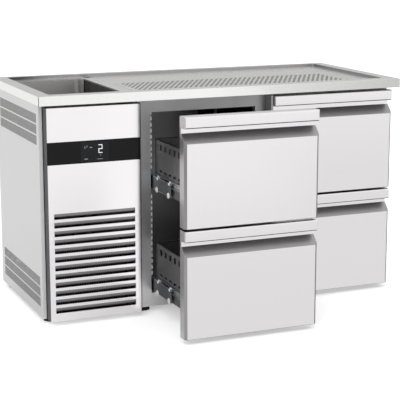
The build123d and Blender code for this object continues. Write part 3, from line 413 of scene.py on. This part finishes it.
finish_of_slot = {
    "worktop_steel": worktop_steel, "front_steel": front_steel, "outer_steel": outer_steel,
    "inner_steel": inner_steel, "galvanised_steel": galvanised(), "slide_steel": slide_steel,
    "chrome": chrome, "foam": foam, "gasket_rubber": gasket_and_shadow_pvc, "black_plastic": strip_black,
    "display": display_glass, "black_paint": black_enamel, "fins": finned(), "fan_plastic": nylon_and_hole_shade,
    "copper": copper, "foot_plastic": foot_plastic,
}
for subpart in frame["record"]["subparts"]:
    node_mesh = frame["nodes"][subpart["node"]].data
    node_mesh.materials.clear()
    node_mesh.materials.append(finish_of_slot[subpart["material_slot"]])
finish_of_node = {f"{drawer_name}_tub": tub_shade_steel for drawer_name in DRAWERS}
finish_of_node |= {"left_side_panel": vented_steel, "right_side_panel": side_shade_steel, "face_frame": frame_steel,
                   "drip_well": shade_steel, "drip_grid": grid_steel}
for node_name, finish in finish_of_node.items():
    frame["nodes"][node_name].data.materials[0] = finish


def add_box(bm, low, high):
    """A cuboid between two corners."""
    low, high = Vector(low), Vector(high)
    place = Matrix.Translation((low + high) / 2) @ Matrix.Diagonal((*(high - low), 1.0))
    return bmesh.ops.create_cube(bm, size=1.0, matrix=place)["verts"]


def add_prism(bm, outline, x0, x1):
    """A prism along X whose section is given as (y, z) points."""
    section = bm.faces.new([bm.verts.new((x0, y, z)) for y, z in outline])
    grown = bmesh.ops.extrude_face_region(bm, geom=[section])["geom"]
    moved = [item for item in grown if isinstance(item, bmesh.types.BMVert)]
    bmesh.ops.translate(bm, verts=moved, vec=(x1 - x0, 0, 0))
    bmesh.ops.recalc_face_normals(bm, faces=bm.faces[:])


def soften(bm, edges, radius, segments):
    """Rounds edges, or chamfers them with one segment."""
    bmesh.ops.bevel(bm, geom=list(edges), offset=radius, affect="EDGES", segments=segments,
                    profile=0.5, material=-1, clamp_overlap=True)


def sharp_edges(bm, limit=math.radians(30)):
    """Edges where two faces meet at more than a limit."""
    return [edge for edge in bm.edges if len(edge.link_faces) == 2 and edge.calc_face_angle() > limit]


def paint(bm, index_for):
    """Gives faces the material index that their normal asks for; None leaves a face as it is."""
    bm.normal_update()
    for face in bm.faces:
        index = index_for(face.normal)
        if index is not None:
            face.material_index = index


def make_piece(name, bm, materials, body, slot, *nodes, sheet=0.0):
    """Turns a bmesh into a piece that rides on a body, takes the finishes it is given and stands for CAD
    nodes.

    A sheet thickness makes an open surface a wall, grown away from its outer side. The slot is not used.
    """
    if sheet:
        bm.normal_update()
        bmesh.ops.solidify(bm, geom=bm.faces[:], thickness=sheet)
    mesh = bpy.data.meshes.new(name)
    bm.to_mesh(mesh)
    bm.free()
    mesh.shade_smooth()
    mesh.set_sharp_from_angle(angle=smooth_limit)
    for material in materials:
        mesh.materials.append(material)
    made = bpy.data.objects.new(name, mesh)
    bpy.context.scene.collection.objects.link(made)
    weighted = made.modifiers.new("flat_faces_stay_flat", "WEIGHTED_NORMAL")
    weighted.keep_sharp = True
    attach(made, body)
    if nodes:
        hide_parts(*nodes)
    return made


def drawer_pan(drawer):
    """Front of a drawer below its lip: chamfered pan and the sloping sheet of the finger recess."""
    low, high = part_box(f"{drawer}_front_panel")
    lip = high.z - lip_height
    panel_top = lip - recess_height
    recess_back = low.y + recess_depth
    bm = bmesh.new()
    add_prism(bm, [(low.y, low.z), (low.y, panel_top), (recess_back, lip - recess_back_height),
                   (recess_back, lip), (high.y, lip), (high.y, low.z)], low.x, high.x)
    corners = [edge for edge in bm.edges
               if all(abs(vert.co.y - low.y) < NEAR for vert in edge.verts)
               and abs(edge.verts[0].co.x - edge.verts[1].co.x) < NEAR]
    soften(bm, corners, front_chamfer, 1)
    # Slopes, left and right chamfers, sides and undersides get darker finishes: painted shade.
    finishes = [front_steel, fold_shade_steel, flank_shade_steel, gap_shade_steel, return_steel]

    def flat_finish(normal):
        if normal.y < -slope_share and max(normal.z, -normal.x) > slope_share:
            return finishes.index(fold_shade_steel)
        if normal.y < -slope_share and normal.x > slope_share:
            return finishes.index(return_steel)
        if abs(normal.x) > wall_share:
            return finishes.index(flank_shade_steel)
        return finishes.index(gap_shade_steel) if normal.z < -wall_share else None

    paint(bm, flat_finish)
    soften(bm, sharp_edges(bm), fold_radius, 2)
    paint(bm, lambda normal: finishes.index(gap_shade_steel) if normal.z < -fold_share else None)
    make_piece(f"{drawer}_front_pan", bm, finishes, f"{drawer}_drawer", "front_steel",
               f"{drawer}_front_panel")


def drawer_lip(drawer):
    """Lip along a front's top edge, rolled at its lower edge."""
    low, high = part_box(f"{drawer}_front_panel")
    bm = bmesh.new()
    add_box(bm, (low.x, low.y, high.z - lip_height), (high.x, high.y, high.z - front_trim))
    rolled = [edge for edge in bm.edges
              if all(vert.co.y < low.y + MM and vert.co.z < high.z - MM for vert in edge.verts)]
    soften(bm, rolled, lip_roll, 4)
    soften(bm, sharp_edges(bm), lip_radius, 2)
    # The lip's underside, rolled edge and ends get darker finishes: painted shade.
    finishes = [front_steel, gap_shade_steel, side_shade_steel, blade_shade_steel]

    def finish_index(normal):
        if normal.z < -flat_share:
            return finishes.index(blade_shade_steel)
        if normal.z < -slope_share:
            return finishes.index(gap_shade_steel)
        return finishes.index(side_shade_steel) if abs(normal.x) > slope_share else None

    paint(bm, finish_index)
    make_piece(f"{drawer}_grip_lip", bm, finishes, f"{drawer}_drawer", "front_steel",
               f"{drawer}_grip_profile")


def tub_hem_ring(drawer):
    """Folded hem round a tub's top edge."""
    low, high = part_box(f"{drawer}_tub")
    bm = bmesh.new()
    top = high.z
    for x0, x1, y0, y1 in ((low.x, low.x + tub_hem, low.y, high.y), (high.x - tub_hem, high.x, low.y, high.y),
                           (low.x + tub_hem, high.x - tub_hem, low.y, low.y + tub_hem),
                           (low.x + tub_hem, high.x - tub_hem, high.y - tub_hem, high.y)):
        add_box(bm, (x0, y0, top - tub_hem), (x1, y1, top))
    make_piece(f"{drawer}_tub_hem", bm, [edge_steel], f"{drawer}_drawer", "slide_steel")


def add_roller(bm, centre, half_width):
    """A wheel about X with bevelled edges and a bore for its axle."""
    outline = [(0, axle_radius), (half_width, axle_radius), (half_width, roller_radius * roller_flank),
               (half_width * roller_tread, roller_radius), (-half_width * roller_tread, roller_radius),
               (-half_width, roller_radius * roller_flank), (-half_width, axle_radius)]
    verts = [bm.verts.new(Vector(centre) + Vector((x, 0, z))) for x, z in outline]
    edges = [bm.edges.new(pair) for pair in zip(verts, verts[1:] + verts[:1])]
    bmesh.ops.spin(bm, geom=verts + edges, cent=centre, axis=(1, 0, 0), steps=roller_steps,
                   angle=2 * math.pi, use_merge=True)


def slide_carriage(drawer):
    """Carriage plates of a drawer, left and right, with folded edges and two rows of rollers."""
    node = f"{drawer}_slide_carriages"
    low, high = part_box(node)
    body = f"{drawer}_carriage"
    plate_inset = roller_width + roller_gap
    step = (high.y - low.y - 2 * roller_inset) / (roller_count - 1)
    stops = [low.y + roller_inset + index * step for index in range(roller_count)]
    lower_axle, upper_axle = low.z + roller_radius, high.z - roller_radius
    plate_foot, plate_top = lower_axle - carriage_margin, upper_axle + carriage_margin
    plates = bmesh.new()
    folds = bmesh.new()
    rollers = bmesh.new()
    for side, edge in ((1, low.x), (-1, high.x)):
        outer = edge + side * plate_inset
        inner = outer + side * carriage_sheet
        plate_low, plate_high = sorted((outer, inner))
        add_box(plates, (plate_low, low.y, plate_foot), (plate_high, high.y, plate_top))
        fold_low, fold_high = sorted((outer, outer - side * carriage_fold_sheet))
        for z in (plate_foot, plate_top - carriage_fold):
            add_box(folds, (fold_low, low.y, z), (fold_high, high.y, z + carriage_fold))
        upper_x = inner + side * (plate_inset - roller_width / 2)
        for y in stops:
            add_roller(rollers, (edge + side * roller_width / 2, y, lower_axle), roller_width / 2)
            add_roller(rollers, (upper_x, y, upper_axle), roller_width / 2)
            cap_place = (Matrix.Translation((outer - side * cap_height / 2, y, upper_axle))
                         @ Matrix.Rotation(-side * math.pi / 2, 4, "Y"))
            bmesh.ops.create_cone(rollers, cap_ends=True, segments=cap_steps, radius1=cap_radius,
                                  radius2=cap_radius * cap_taper, depth=cap_height, matrix=cap_place)
    bmesh.ops.remove_doubles(rollers, verts=rollers.verts[:], dist=MERGE)
    bmesh.ops.recalc_face_normals(rollers, faces=rollers.faces[:])
    soften(plates, sharp_edges(plates), carriage_edge, 1)
    # The plates carry painted shade between the rollers; the folds keep the bright plating.
    make_piece(f"{drawer}_carriage_plates", plates, [carriage_shade_steel], body, "slide_steel", node)
    make_piece(f"{drawer}_carriage_folds", folds, [slide_steel], body, "slide_steel")
    make_piece(f"{drawer}_rollers", rollers, [roller_acetal], body, "slide_steel", node)


def upright_edges():
    """White clips along the front upright, seen beside the left opening, with gaps for the carriages."""
    low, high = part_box("rail_uprights")
    bm = bmesh.new()
    carriages = [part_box(f"{tier}_left_slide_carriages") for tier in ("upper", "lower")]
    count = int((high.z - low.z) // clip_pitch)
    for index in range(count):
        z0 = low.z + index * clip_pitch + clip_gap
        z1 = z0 + clip_pitch - clip_gap
        if all(z1 < under.z - clip_clear or z0 > over.z + clip_clear for under, over in carriages):
            add_box(bm, (low.x + clip_reach, low.y - clip_sheet, z0),
                    (low.x + clip_reach + clip_width, low.y, z1))
    make_piece("upright_edges", bm, [roller_acetal], "cabinet", "slide_steel")


def corner_strip():
    """Pale strip on the front flange of the left side panel."""
    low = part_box("left_side_panel")[0]
    cover_low, cover_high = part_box("machine_cover")
    bm = bmesh.new()
    add_box(bm, (low.x, low.y - corner_sheet, low.z), (cover_low.x - corner_clear, low.y, cover_high.z))
    make_piece("corner_strip", bm, [corner_steel], "cabinet", "outer_steel")


def column_filler():
    """Upright strip in the gap between the two columns of fronts."""
    frame_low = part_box("face_frame")[0]
    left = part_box("upper_left_front_panel")[1].x
    right_low, right_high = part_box("upper_right_front_panel")
    bm = bmesh.new()
    add_box(bm, (left + filler_clear, right_low.y + filler_setback, frame_low.z),
            (right_low.x - filler_clear, frame_low.y, right_high.z))
    soften(bm, sharp_edges(bm), fold_radius, 2)
    # Faces towards the front take the frame's finish, with its painted shade.
    finishes = [outer_steel, frame_steel]
    paint(bm, lambda normal: finishes.index(frame_steel) if normal.y < -bend_share else None)
    make_piece("column_filler", bm, finishes, "cabinet", "outer_steel")


def skirt_corners():
    """Dark strips at the open corners of the worktop's folded edge: painted shade, seen as dark lines on its
    ends.
    """
    low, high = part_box("worktop")
    bm = bmesh.new()
    for x in (low.x, high.x):
        add_box(bm, (x - corner_gap_sheet, low.y + corner_gap_inset, low.z),
                (x + corner_gap_sheet, low.y + corner_gap_inset + corner_gap, high.z - worktop_sheet))
    make_piece("skirt_corners", bm, [gap_shade_steel], "cabinet", "worktop_steel")


def top_shadow_strip():
    """Dark strip along the top of the frame: painted shadow in the gap under the worktop's edge."""
    low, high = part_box("face_frame")
    left, cover_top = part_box("left_side_panel")[0].x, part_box("machine_cover")[1].z
    bm = bmesh.new()
    add_box(bm, (left, low.y - top_shadow_sheet, cover_top + top_shadow_gap), (high.x, low.y, high.z))
    soften(bm, sharp_edges(bm), top_shadow_sheet / 4, 2)
    make_piece("top_shadow_strip", bm, [gasket_and_shadow_pvc], "cabinet", "gasket_rubber")


def cover_shadow_strip():
    """Dark strip on the cover's edge beside the drawers: painted shadow in the gap there."""
    low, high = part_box("machine_cover")
    bm = bmesh.new()
    add_box(bm, (high.x, low.y + cover_sheet, low.z), (high.x + cover_shadow_width, high.y, high.z))
    soften(bm, sharp_edges(bm), cover_shadow_width / 4, 2)
    make_piece("cover_shadow_strip", bm, [gasket_and_shadow_pvc], "cabinet", "gasket_rubber")


def machine_cover():
    """Boxed front cover: folded sheet with a row of pressed louvres and a gap for the control strip."""
    low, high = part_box("machine_cover")
    strip_low, strip_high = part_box("control_fascia")
    top = high.z - front_trim
    bm = bmesh.new()
    front = bm.faces.new([bm.verts.new(spot) for spot in (
        (low.x, low.y, low.z), (high.x, low.y, low.z), (high.x, low.y, top), (low.x, low.y, top))])
    sides = bmesh.ops.extrude_edge_only(bm, edges=front.edges[:])["geom"]
    bmesh.ops.translate(bm, verts=[item for item in sides if isinstance(item, bmesh.types.BMVert)],
                        vec=(0, high.y - low.y, 0))
    slots = [low.z + louvre_rise + index * louvre_pitch for index in range(louvre_count)]
    levels = [strip_low.z, strip_high.z]
    for slot_low in slots:
        levels += [slot_low, slot_low + louvre_slot]
    slot_left, slot_right = low.x + louvre_left, high.x - louvre_right
    for level in levels:
        bmesh.ops.bisect_plane(bm, geom=bm.verts[:] + bm.edges[:] + bm.faces[:],
                               plane_co=(0, 0, level), plane_no=(0, 0, 1))
    for across in (slot_left, slot_right):
        bmesh.ops.bisect_plane(bm, geom=bm.verts[:] + bm.edges[:] + bm.faces[:],
                               plane_co=(across, 0, 0), plane_no=(1, 0, 0))

    def in_slot(face):
        middle = face.calc_center_median()
        inside = slot_left < middle.x < slot_right and any(z < middle.z < z + louvre_slot for z in slots)
        behind_strip = strip_low.z < middle.z < strip_high.z
        return abs(middle.y - low.y) < NEAR and (inside or behind_strip)

    bmesh.ops.delete(bm, geom=[face for face in bm.faces if in_slot(face)], context="FACES_ONLY")
    tops = [edge for edge in bm.edges
            if all(abs(vert.co.y - low.y) < NEAR and slot_left - MM < vert.co.x < slot_right + MM
                   and any(abs(vert.co.z - z - louvre_slot) < NEAR for z in slots) for vert in edge.verts)]
    blades = bmesh.ops.extrude_edge_only(bm, edges=tops)["geom"]
    bmesh.ops.translate(bm, verts=[item for item in blades if isinstance(item, bmesh.types.BMVert)],
                        vec=(0, louvre_blade_reach, -louvre_blade_fall))
    bmesh.ops.delete(bm, geom=[edge for edge in bm.edges if not edge.link_faces], context="EDGES")
    bmesh.ops.recalc_face_normals(bm, faces=bm.faces[:])
    # The cover's sides and its louvre blades get darker finishes: painted shade.
    finishes = [outer_steel, return_steel, blade_shade_steel]
    for face in bm.faces:
        if abs(face.normal.x) > wall_share:
            face.material_index = finishes.index(return_steel)
        elif face.normal.y < -tilt_share and abs(face.normal.z) > tilt_share:
            face.material_index = finishes.index(blade_shade_steel)
    make_piece("louvred_cover", bm, finishes, "cabinet", "outer_steel", "machine_cover", sheet=cover_sheet)


def control_strip():
    """Glossy strip with a window, and the display's lit digit and small marks."""
    low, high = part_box("control_fascia")
    window_low, window_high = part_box("controller")
    window_left, window_right = window_low.x + window_flange, window_high.x - window_flange
    bm = bmesh.new()
    add_box(bm, low, (window_left, high.y, high.z))
    add_box(bm, (window_right, low.y, low.z), high)
    add_box(bm, (window_left, low.y, low.z), (window_right, high.y, low.z + window_edge))
    add_box(bm, (window_left, low.y, high.z - window_edge), (window_right, high.y, high.z))
    make_piece("control_strip", bm, [strip_black], "cabinet", "black_plastic", "control_fascia")

    face = window_low.y
    segments = bmesh.new()
    left, right = window_left + digit_left, window_left + digit_left + digit_width
    base, top = low.z + digit_foot, low.z + digit_foot + digit_height
    middle = base + digit_height / 2
    bars = ((left, top - digit_stroke, right, top),
            (right - digit_stroke, middle, right, top),
            (left, middle - digit_stroke / 2, right, middle + digit_stroke / 2),
            (left, base, left + digit_stroke, middle),
            (left, base, right, base + digit_stroke))
    for x0, z0, x1, z1 in bars:
        add_box(segments, (x0, face - digit_relief, z0), (x1, face, z1))
    make_piece("display_digit", segments, [lit_segment], "cabinet", "display")
    marks = bmesh.new()
    for x, z, width, height in display_marks:
        x0, z0 = window_left + x * MM, low.z + z * MM
        add_box(marks, (x0, face - mark_relief, z0), (x0 + width * MM, face, z0 + height * MM))
    make_piece("display_marks", marks, [printed_mark], "cabinet", "display")


def sink():
    """Deep bowl with rounded corners and a bend round its floor."""
    low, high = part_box("sink_bowl")
    inner_low = Vector((low.x + sink_flange, low.y + sink_flange, low.z + sink_sheet))
    inner_high = Vector((high.x - sink_flange, high.y - sink_flange, high.z))
    bm = bmesh.new()
    rim = bm.faces.new([bm.verts.new((x, y, inner_high.z)) for x, y in (
        (inner_low.x, inner_low.y), (inner_high.x, inner_low.y),
        (inner_high.x, inner_high.y), (inner_low.x, inner_high.y))])
    bmesh.ops.bevel(bm, geom=rim.verts[:], offset=sink_corner, affect="VERTICES", segments=corner_steps,
                    profile=0.5, material=-1)
    rim = max(bm.faces, key=lambda face: face.calc_area())
    grown = bmesh.ops.extrude_face_region(bm, geom=[rim])["geom"]
    bmesh.ops.translate(bm, verts=[item for item in grown if isinstance(item, bmesh.types.BMVert)],
                        vec=(0, 0, inner_low.z - inner_high.z))
    lids = [face for face in bm.faces if face.calc_center_median().z > inner_high.z - MM]
    bmesh.ops.delete(bm, geom=lids, context="FACES_ONLY")
    floor_edges = [edge for edge in bm.edges if all(vert.co.z < inner_low.z + MM for vert in edge.verts)]
    soften(bm, floor_edges, sink_floor_round, 5)
    for face in bm.faces:
        face.normal_update()
    bmesh.ops.recalc_face_normals(bm, faces=bm.faces[:])
    floor = min(bm.faces, key=lambda face: face.calc_center_median().z)
    if floor.normal.z < 0:
        bmesh.ops.reverse_faces(bm, faces=bm.faces[:])
    # End walls of the bowl get painted shade, its corners a painted highlight.
    finishes = [sink_steel, sink_end_shade_steel, sink_corner_highlight_steel]

    def finish_index(normal):
        if abs(normal.x) > flat_share:
            return finishes.index(sink_end_shade_steel)
        is_corner = min(abs(normal.x), abs(normal.y)) > bend_share and abs(normal.z) < bend_share
        return finishes.index(sink_corner_highlight_steel) if is_corner else None

    paint(bm, finish_index)
    make_piece("sink", bm, finishes, "cabinet", "worktop_steel", "sink_bowl", sheet=sink_sheet)


def rounded_loop(bm, low, high, corner, z):
    """Points round a rectangle with rounded corners, in order."""
    loop = []
    centres = ((high.x - corner, high.y - corner), (low.x + corner, high.y - corner),
               (low.x + corner, low.y + corner), (high.x - corner, low.y + corner))
    for turn, (x, y) in enumerate(centres):
        for step in range(corner_steps + 1):
            angle = math.pi / 2 * (turn + step / corner_steps)
            loop.append(bm.verts.new((x + corner * math.cos(angle), y + corner * math.sin(angle), z)))
    return loop


def add_band(bm, loops):
    """Faces between loops that follow each other."""
    for outer, inner in zip(loops, loops[1:]):
        for index in range(len(outer)):
            after = (index + 1) % len(outer)
            bm.faces.new((outer[index], outer[after], inner[after], inner[index]))


def sink_edge():
    """Rolled edge of the worktop round the sink, in a grey that is painted shade."""
    low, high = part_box("sink_bowl")
    top = high.z + worktop_sheet
    bm = bmesh.new()
    loops = []
    reaches = (edge_roll, edge_roll / 2, 0, -edge_roll / 4)
    for grown, rise in zip(reaches, (*edge_rises, -edge_roll)):
        reach = Vector((grown - sink_flange, grown - sink_flange, 0))
        loops.append(rounded_loop(bm, low - reach, high + reach, sink_corner + grown, top + rise))
    add_band(bm, loops)
    bmesh.ops.recalc_face_normals(bm, faces=bm.faces[:])
    if max(bm.faces, key=lambda face: abs(face.normal.z)).normal.z < 0:
        bmesh.ops.reverse_faces(bm, faces=bm.faces[:])
    make_piece("sink_edge", bm, [roll_shade_steel], "cabinet", "worktop_steel")


def field_step():
    """Wall from the rim down to the worktop's field, lined in a darker finish that is painted shade."""
    low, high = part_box("worktop")
    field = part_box("drip_grid")[1].z
    inner_low = Vector((low.x + rim_width + step_gap, low.y + rim_width + step_gap, 0))
    inner_high = Vector((high.x - rim_width - step_gap, high.y - back_rim_width - step_gap, 0))
    bm = bmesh.new()
    add_band(bm, [rounded_loop(bm, inner_low, inner_high, field_corner, z)
                  for z in (field, high.z - step_gap)])
    make_piece("field_step", bm, [step_steel], "cabinet", "worktop_steel", sheet=step_gap / 2)


def tap_hole_shade():
    """Short black tube under the tap hole: painted shade seen through the hole."""
    sink_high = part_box("sink_bowl")[1]
    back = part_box("worktop")[1].y
    centre = Vector((sink_high.x - sink_flange + tap_to_sink, back - back_rim_width - tap_to_rim, 0))
    reach = Vector((tap_radius, tap_radius, 0))
    bm = bmesh.new()
    add_band(bm, [rounded_loop(bm, centre - reach, centre + reach, tap_radius, z)
                  for z in (sink_high.z, sink_high.z - tap_shade_length)])
    bmesh.ops.remove_doubles(bm, verts=bm.verts[:], dist=MERGE)
    make_piece("tap_hole_shade", bm, [nylon_and_hole_shade], "cabinet", "black_plastic", sheet=worktop_sheet / 2)


def fan_guard():
    """Wire guard in front of the evaporator's fan."""
    low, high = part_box("evaporator_fan")
    centre = Vector(((low.x + high.x) / 2, low.y, (low.z + high.z) / 2))
    outer = (high.x - low.x) / 2
    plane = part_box("evaporator_fan_housing")[0].y - guard_wire
    bm = bmesh.new()
    for index in range(guard_rings):
        radius = outer * (index + 1 + guard_hub) / (guard_rings + guard_hub)
        wire_place = Matrix.Translation((centre.x + radius, plane, centre.z))
        ring = bmesh.ops.create_circle(bm, radius=guard_wire, segments=guard_wire_steps,
                                       matrix=wire_place)["verts"]
        edges = list({edge for vert in ring for edge in vert.link_edges})
        bmesh.ops.spin(bm, geom=ring + edges, cent=(centre.x, plane, centre.z), axis=(0, 1, 0),
                       steps=guard_ring_steps, angle=2 * math.pi, use_merge=True)
    for angle in (math.pi / 4, 3 * math.pi / 4):
        bar_place = (Matrix.Translation((centre.x, plane, centre.z)) @ Matrix.Rotation(angle, 4, "Y")
                     @ Matrix.Diagonal((2 * outer, 2 * guard_wire, 2 * guard_wire, 1.0)))
        bmesh.ops.create_cube(bm, size=1.0, matrix=bar_place)
    bmesh.ops.remove_doubles(bm, verts=bm.verts[:], dist=MERGE)
    bmesh.ops.recalc_face_normals(bm, faces=bm.faces[:])
    make_piece("evaporator_fan_guard", bm, [slide_steel], "cabinet", "fan_plastic")


def panel_screws():
    """Screw heads along the top and the foot of the back panel."""
    low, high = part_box("back_panel")
    bm = bmesh.new()
    columns = int((high.x - low.x - 2 * screw_inset) // screw_pitch)
    step = (high.x - low.x - 2 * screw_inset) / columns
    spots = [(low.x + screw_inset + index * step, z) for index in range(columns + 1)
             for z in (low.z + screw_inset, high.z - screw_drop)]
    for x, z in spots:
        screw_place = (Matrix.Translation((x, high.y + screw_height / 2, z))
                       @ Matrix.Rotation(-math.pi / 2, 4, "X"))
        bmesh.ops.create_cone(bm, cap_ends=True, segments=screw_steps, radius1=screw_head,
                              radius2=screw_head * screw_taper, depth=screw_height, matrix=screw_place)
    make_piece("back_panel_screws", bm, [slide_steel], "cabinet", "slide_steel")


for drawer_name in DRAWERS:
    drawer_pan(drawer_name)
    drawer_lip(drawer_name)
    tub_hem_ring(drawer_name)
    slide_carriage(drawer_name)
upright_edges()
corner_strip()
machine_cover()
column_filler()
skirt_corners()
top_shadow_strip()
cover_shadow_strip()
control_strip()
sink()
sink_edge()
field_step()
tap_hole_shade()
fan_guard()
panel_screws()


def studio_world():
    """White room: white to the eye and in reflections, a little dimmer as fill light."""
    world = bpy.data.worlds.new("white_studio")
    bpy.context.scene.world = world
    world.use_nodes = True
    tree = world.node_tree
    tree.nodes.clear()
    ray = add_node(tree, "ShaderNodeLightPath", {})
    seen = add_node(tree, "ShaderNodeMath", {
        0: ray.outputs["Is Camera Ray"], 1: ray.outputs["Is Glossy Ray"]}, operation="MAXIMUM")
    seen = add_node(tree, "ShaderNodeMath", {
        0: seen.outputs[0], 1: ray.outputs["Is Transmission Ray"]}, operation="MAXIMUM")
    fill = add_node(tree, "ShaderNodeBackground", {"Color": colour("#ffffff"), "Strength": fill_strength})
    white = add_node(tree, "ShaderNodeBackground", {"Color": colour("#ffffff"), "Strength": 1.0})
    room = add_node(tree, "ShaderNodeMixShader", {
        0: seen.outputs[0], 1: fill.outputs[0], 2: white.outputs[0]})
    add_node(tree, "ShaderNodeOutputWorld", {"Surface": room.outputs[0]})


def stage_plane(name, material, place):
    """A square sheet of the studio, two metres wide before its place scales it."""
    bm = bmesh.new()
    bmesh.ops.create_grid(bm, x_segments=1, y_segments=1, size=1.0, matrix=place)
    mesh = bpy.data.meshes.new(name)
    bm.to_mesh(mesh)
    bm.free()
    mesh.materials.append(material)
    made = bpy.data.objects.new(name, mesh)
    bpy.context.scene.collection.objects.link(made)
    return made


def studio_floor():
    """Plain white floor that keeps the counter's soft shadow, lifted a little for the eye."""
    material = plain("white_floor", "#f4f4f4", Roughness=0.9, Specular_IOR_Level=0.0,
                     Emission_Color=colour("#ffffff"))
    tree = material.node_tree
    ray = add_node(tree, "ShaderNodeLightPath", {})
    lift = add_node(tree, "ShaderNodeMapRange", {
        "Value": ray.outputs["Is Camera Ray"], "To Min": floor_glow, "To Max": floor_glow_seen})
    tree.links.new(lift.outputs["Result"], tree.nodes["Principled BSDF"].inputs["Emission Strength"])
    stage_plane("studio_floor", material, Matrix.Diagonal((floor_reach, floor_reach, 1.0, 1.0)))


def grey_card(name, code, place):
    """A card that only reflections show, and only on its face."""
    material = bpy.data.materials.new(name)
    material.use_nodes = True
    tree = material.node_tree
    tree.nodes.clear()
    glow = add_node(tree, "ShaderNodeEmission", {"Color": colour(code)})
    clear = add_node(tree, "ShaderNodeBsdfTransparent", {})
    side = add_node(tree, "ShaderNodeNewGeometry", {})
    card_face = add_node(tree, "ShaderNodeMixShader", {
        0: side.outputs["Backfacing"], 1: glow.outputs[0], 2: clear.outputs[0]})
    add_node(tree, "ShaderNodeOutputMaterial", {"Surface": card_face.outputs[0]})
    card = stage_plane(name, material, place)
    card.visible_camera = False
    card.visible_diffuse = False
    card.visible_transmission = False
    card.visible_shadow = False


def soft_sun(name, towards, spread, strength):
    """Wide, soft light from far away along a direction; metal reflects the room instead of the lamp."""
    lamp = bpy.data.lights.new(name, "SUN")
    lamp.angle = spread
    lamp.energy = strength
    made = bpy.data.objects.new(name, lamp)
    made.rotation_euler = Vector(towards).to_track_quat("-Z", "Y").to_euler()
    made.visible_glossy = False
    bpy.context.scene.collection.objects.link(made)


def photograph_camera():
    """Camera at the photograph's viewing angle."""
    data = bpy.data.cameras.new("photograph")
    data.lens = camera_lens
    data.sensor_width = camera_sensor
    made = bpy.data.objects.new("photograph", data)
    made.location = camera_place
    made.rotation_euler = (math.pi / 2 - camera_pitch, 0, -camera_yaw)
    bpy.context.scene.collection.objects.link(made)
    bpy.context.scene.camera = made


studio_world()
studio_floor()
soft_sun("key", key_towards, key_spread, key_strength)
unturned = Matrix.Identity(4)
along_view = Matrix.Rotation(camera_yaw, 4, "Z")
facing_front = Matrix.Rotation(math.pi / 2, 4, "X")
facing_right = Matrix.Rotation(math.pi / 2, 4, "Y")
facing_left = Matrix.Rotation(-math.pi / 2, 4, "Y")
# Name, colour, axes of the place, place, turn, and half of the width and the height in metres
cards = (
    ("back_card", "#c6c6c6", unturned, (0, 3.6, 2.7), facing_front, (7, 2.0)),
    ("near_card", "#e6e6e6", along_view, (0.75, -1.4, 0.002), unturned, (1.7, 1.2)),
    ("far_card", "#dedede", along_view, (1.35, -3.8, 0.002), unturned, (1.25, 1.2)),
    ("skirt_card", "#ffffff", unturned, (-0.08, -0.36, 0.857), unturned, (0.28, 0.195)),
    ("drawer_card", "#ffffff", unturned, (-0.365, -0.36, 0.44), facing_left, (0.42, 0.195)),
    ("left_card", "#a0a0a0", unturned, (-2.7, -2.6, 1.0), facing_right, (1.0, 1.9)),
)
for card_name, card_code, axes, spot, turn, half_size in cards:
    grey_card(card_name, card_code,
              axes @ Matrix.Translation(spot) @ turn @ Matrix.Diagonal((*half_size, 1, 1)))
photograph_camera()
bpy.context.scene.view_settings.view_transform = "Standard"
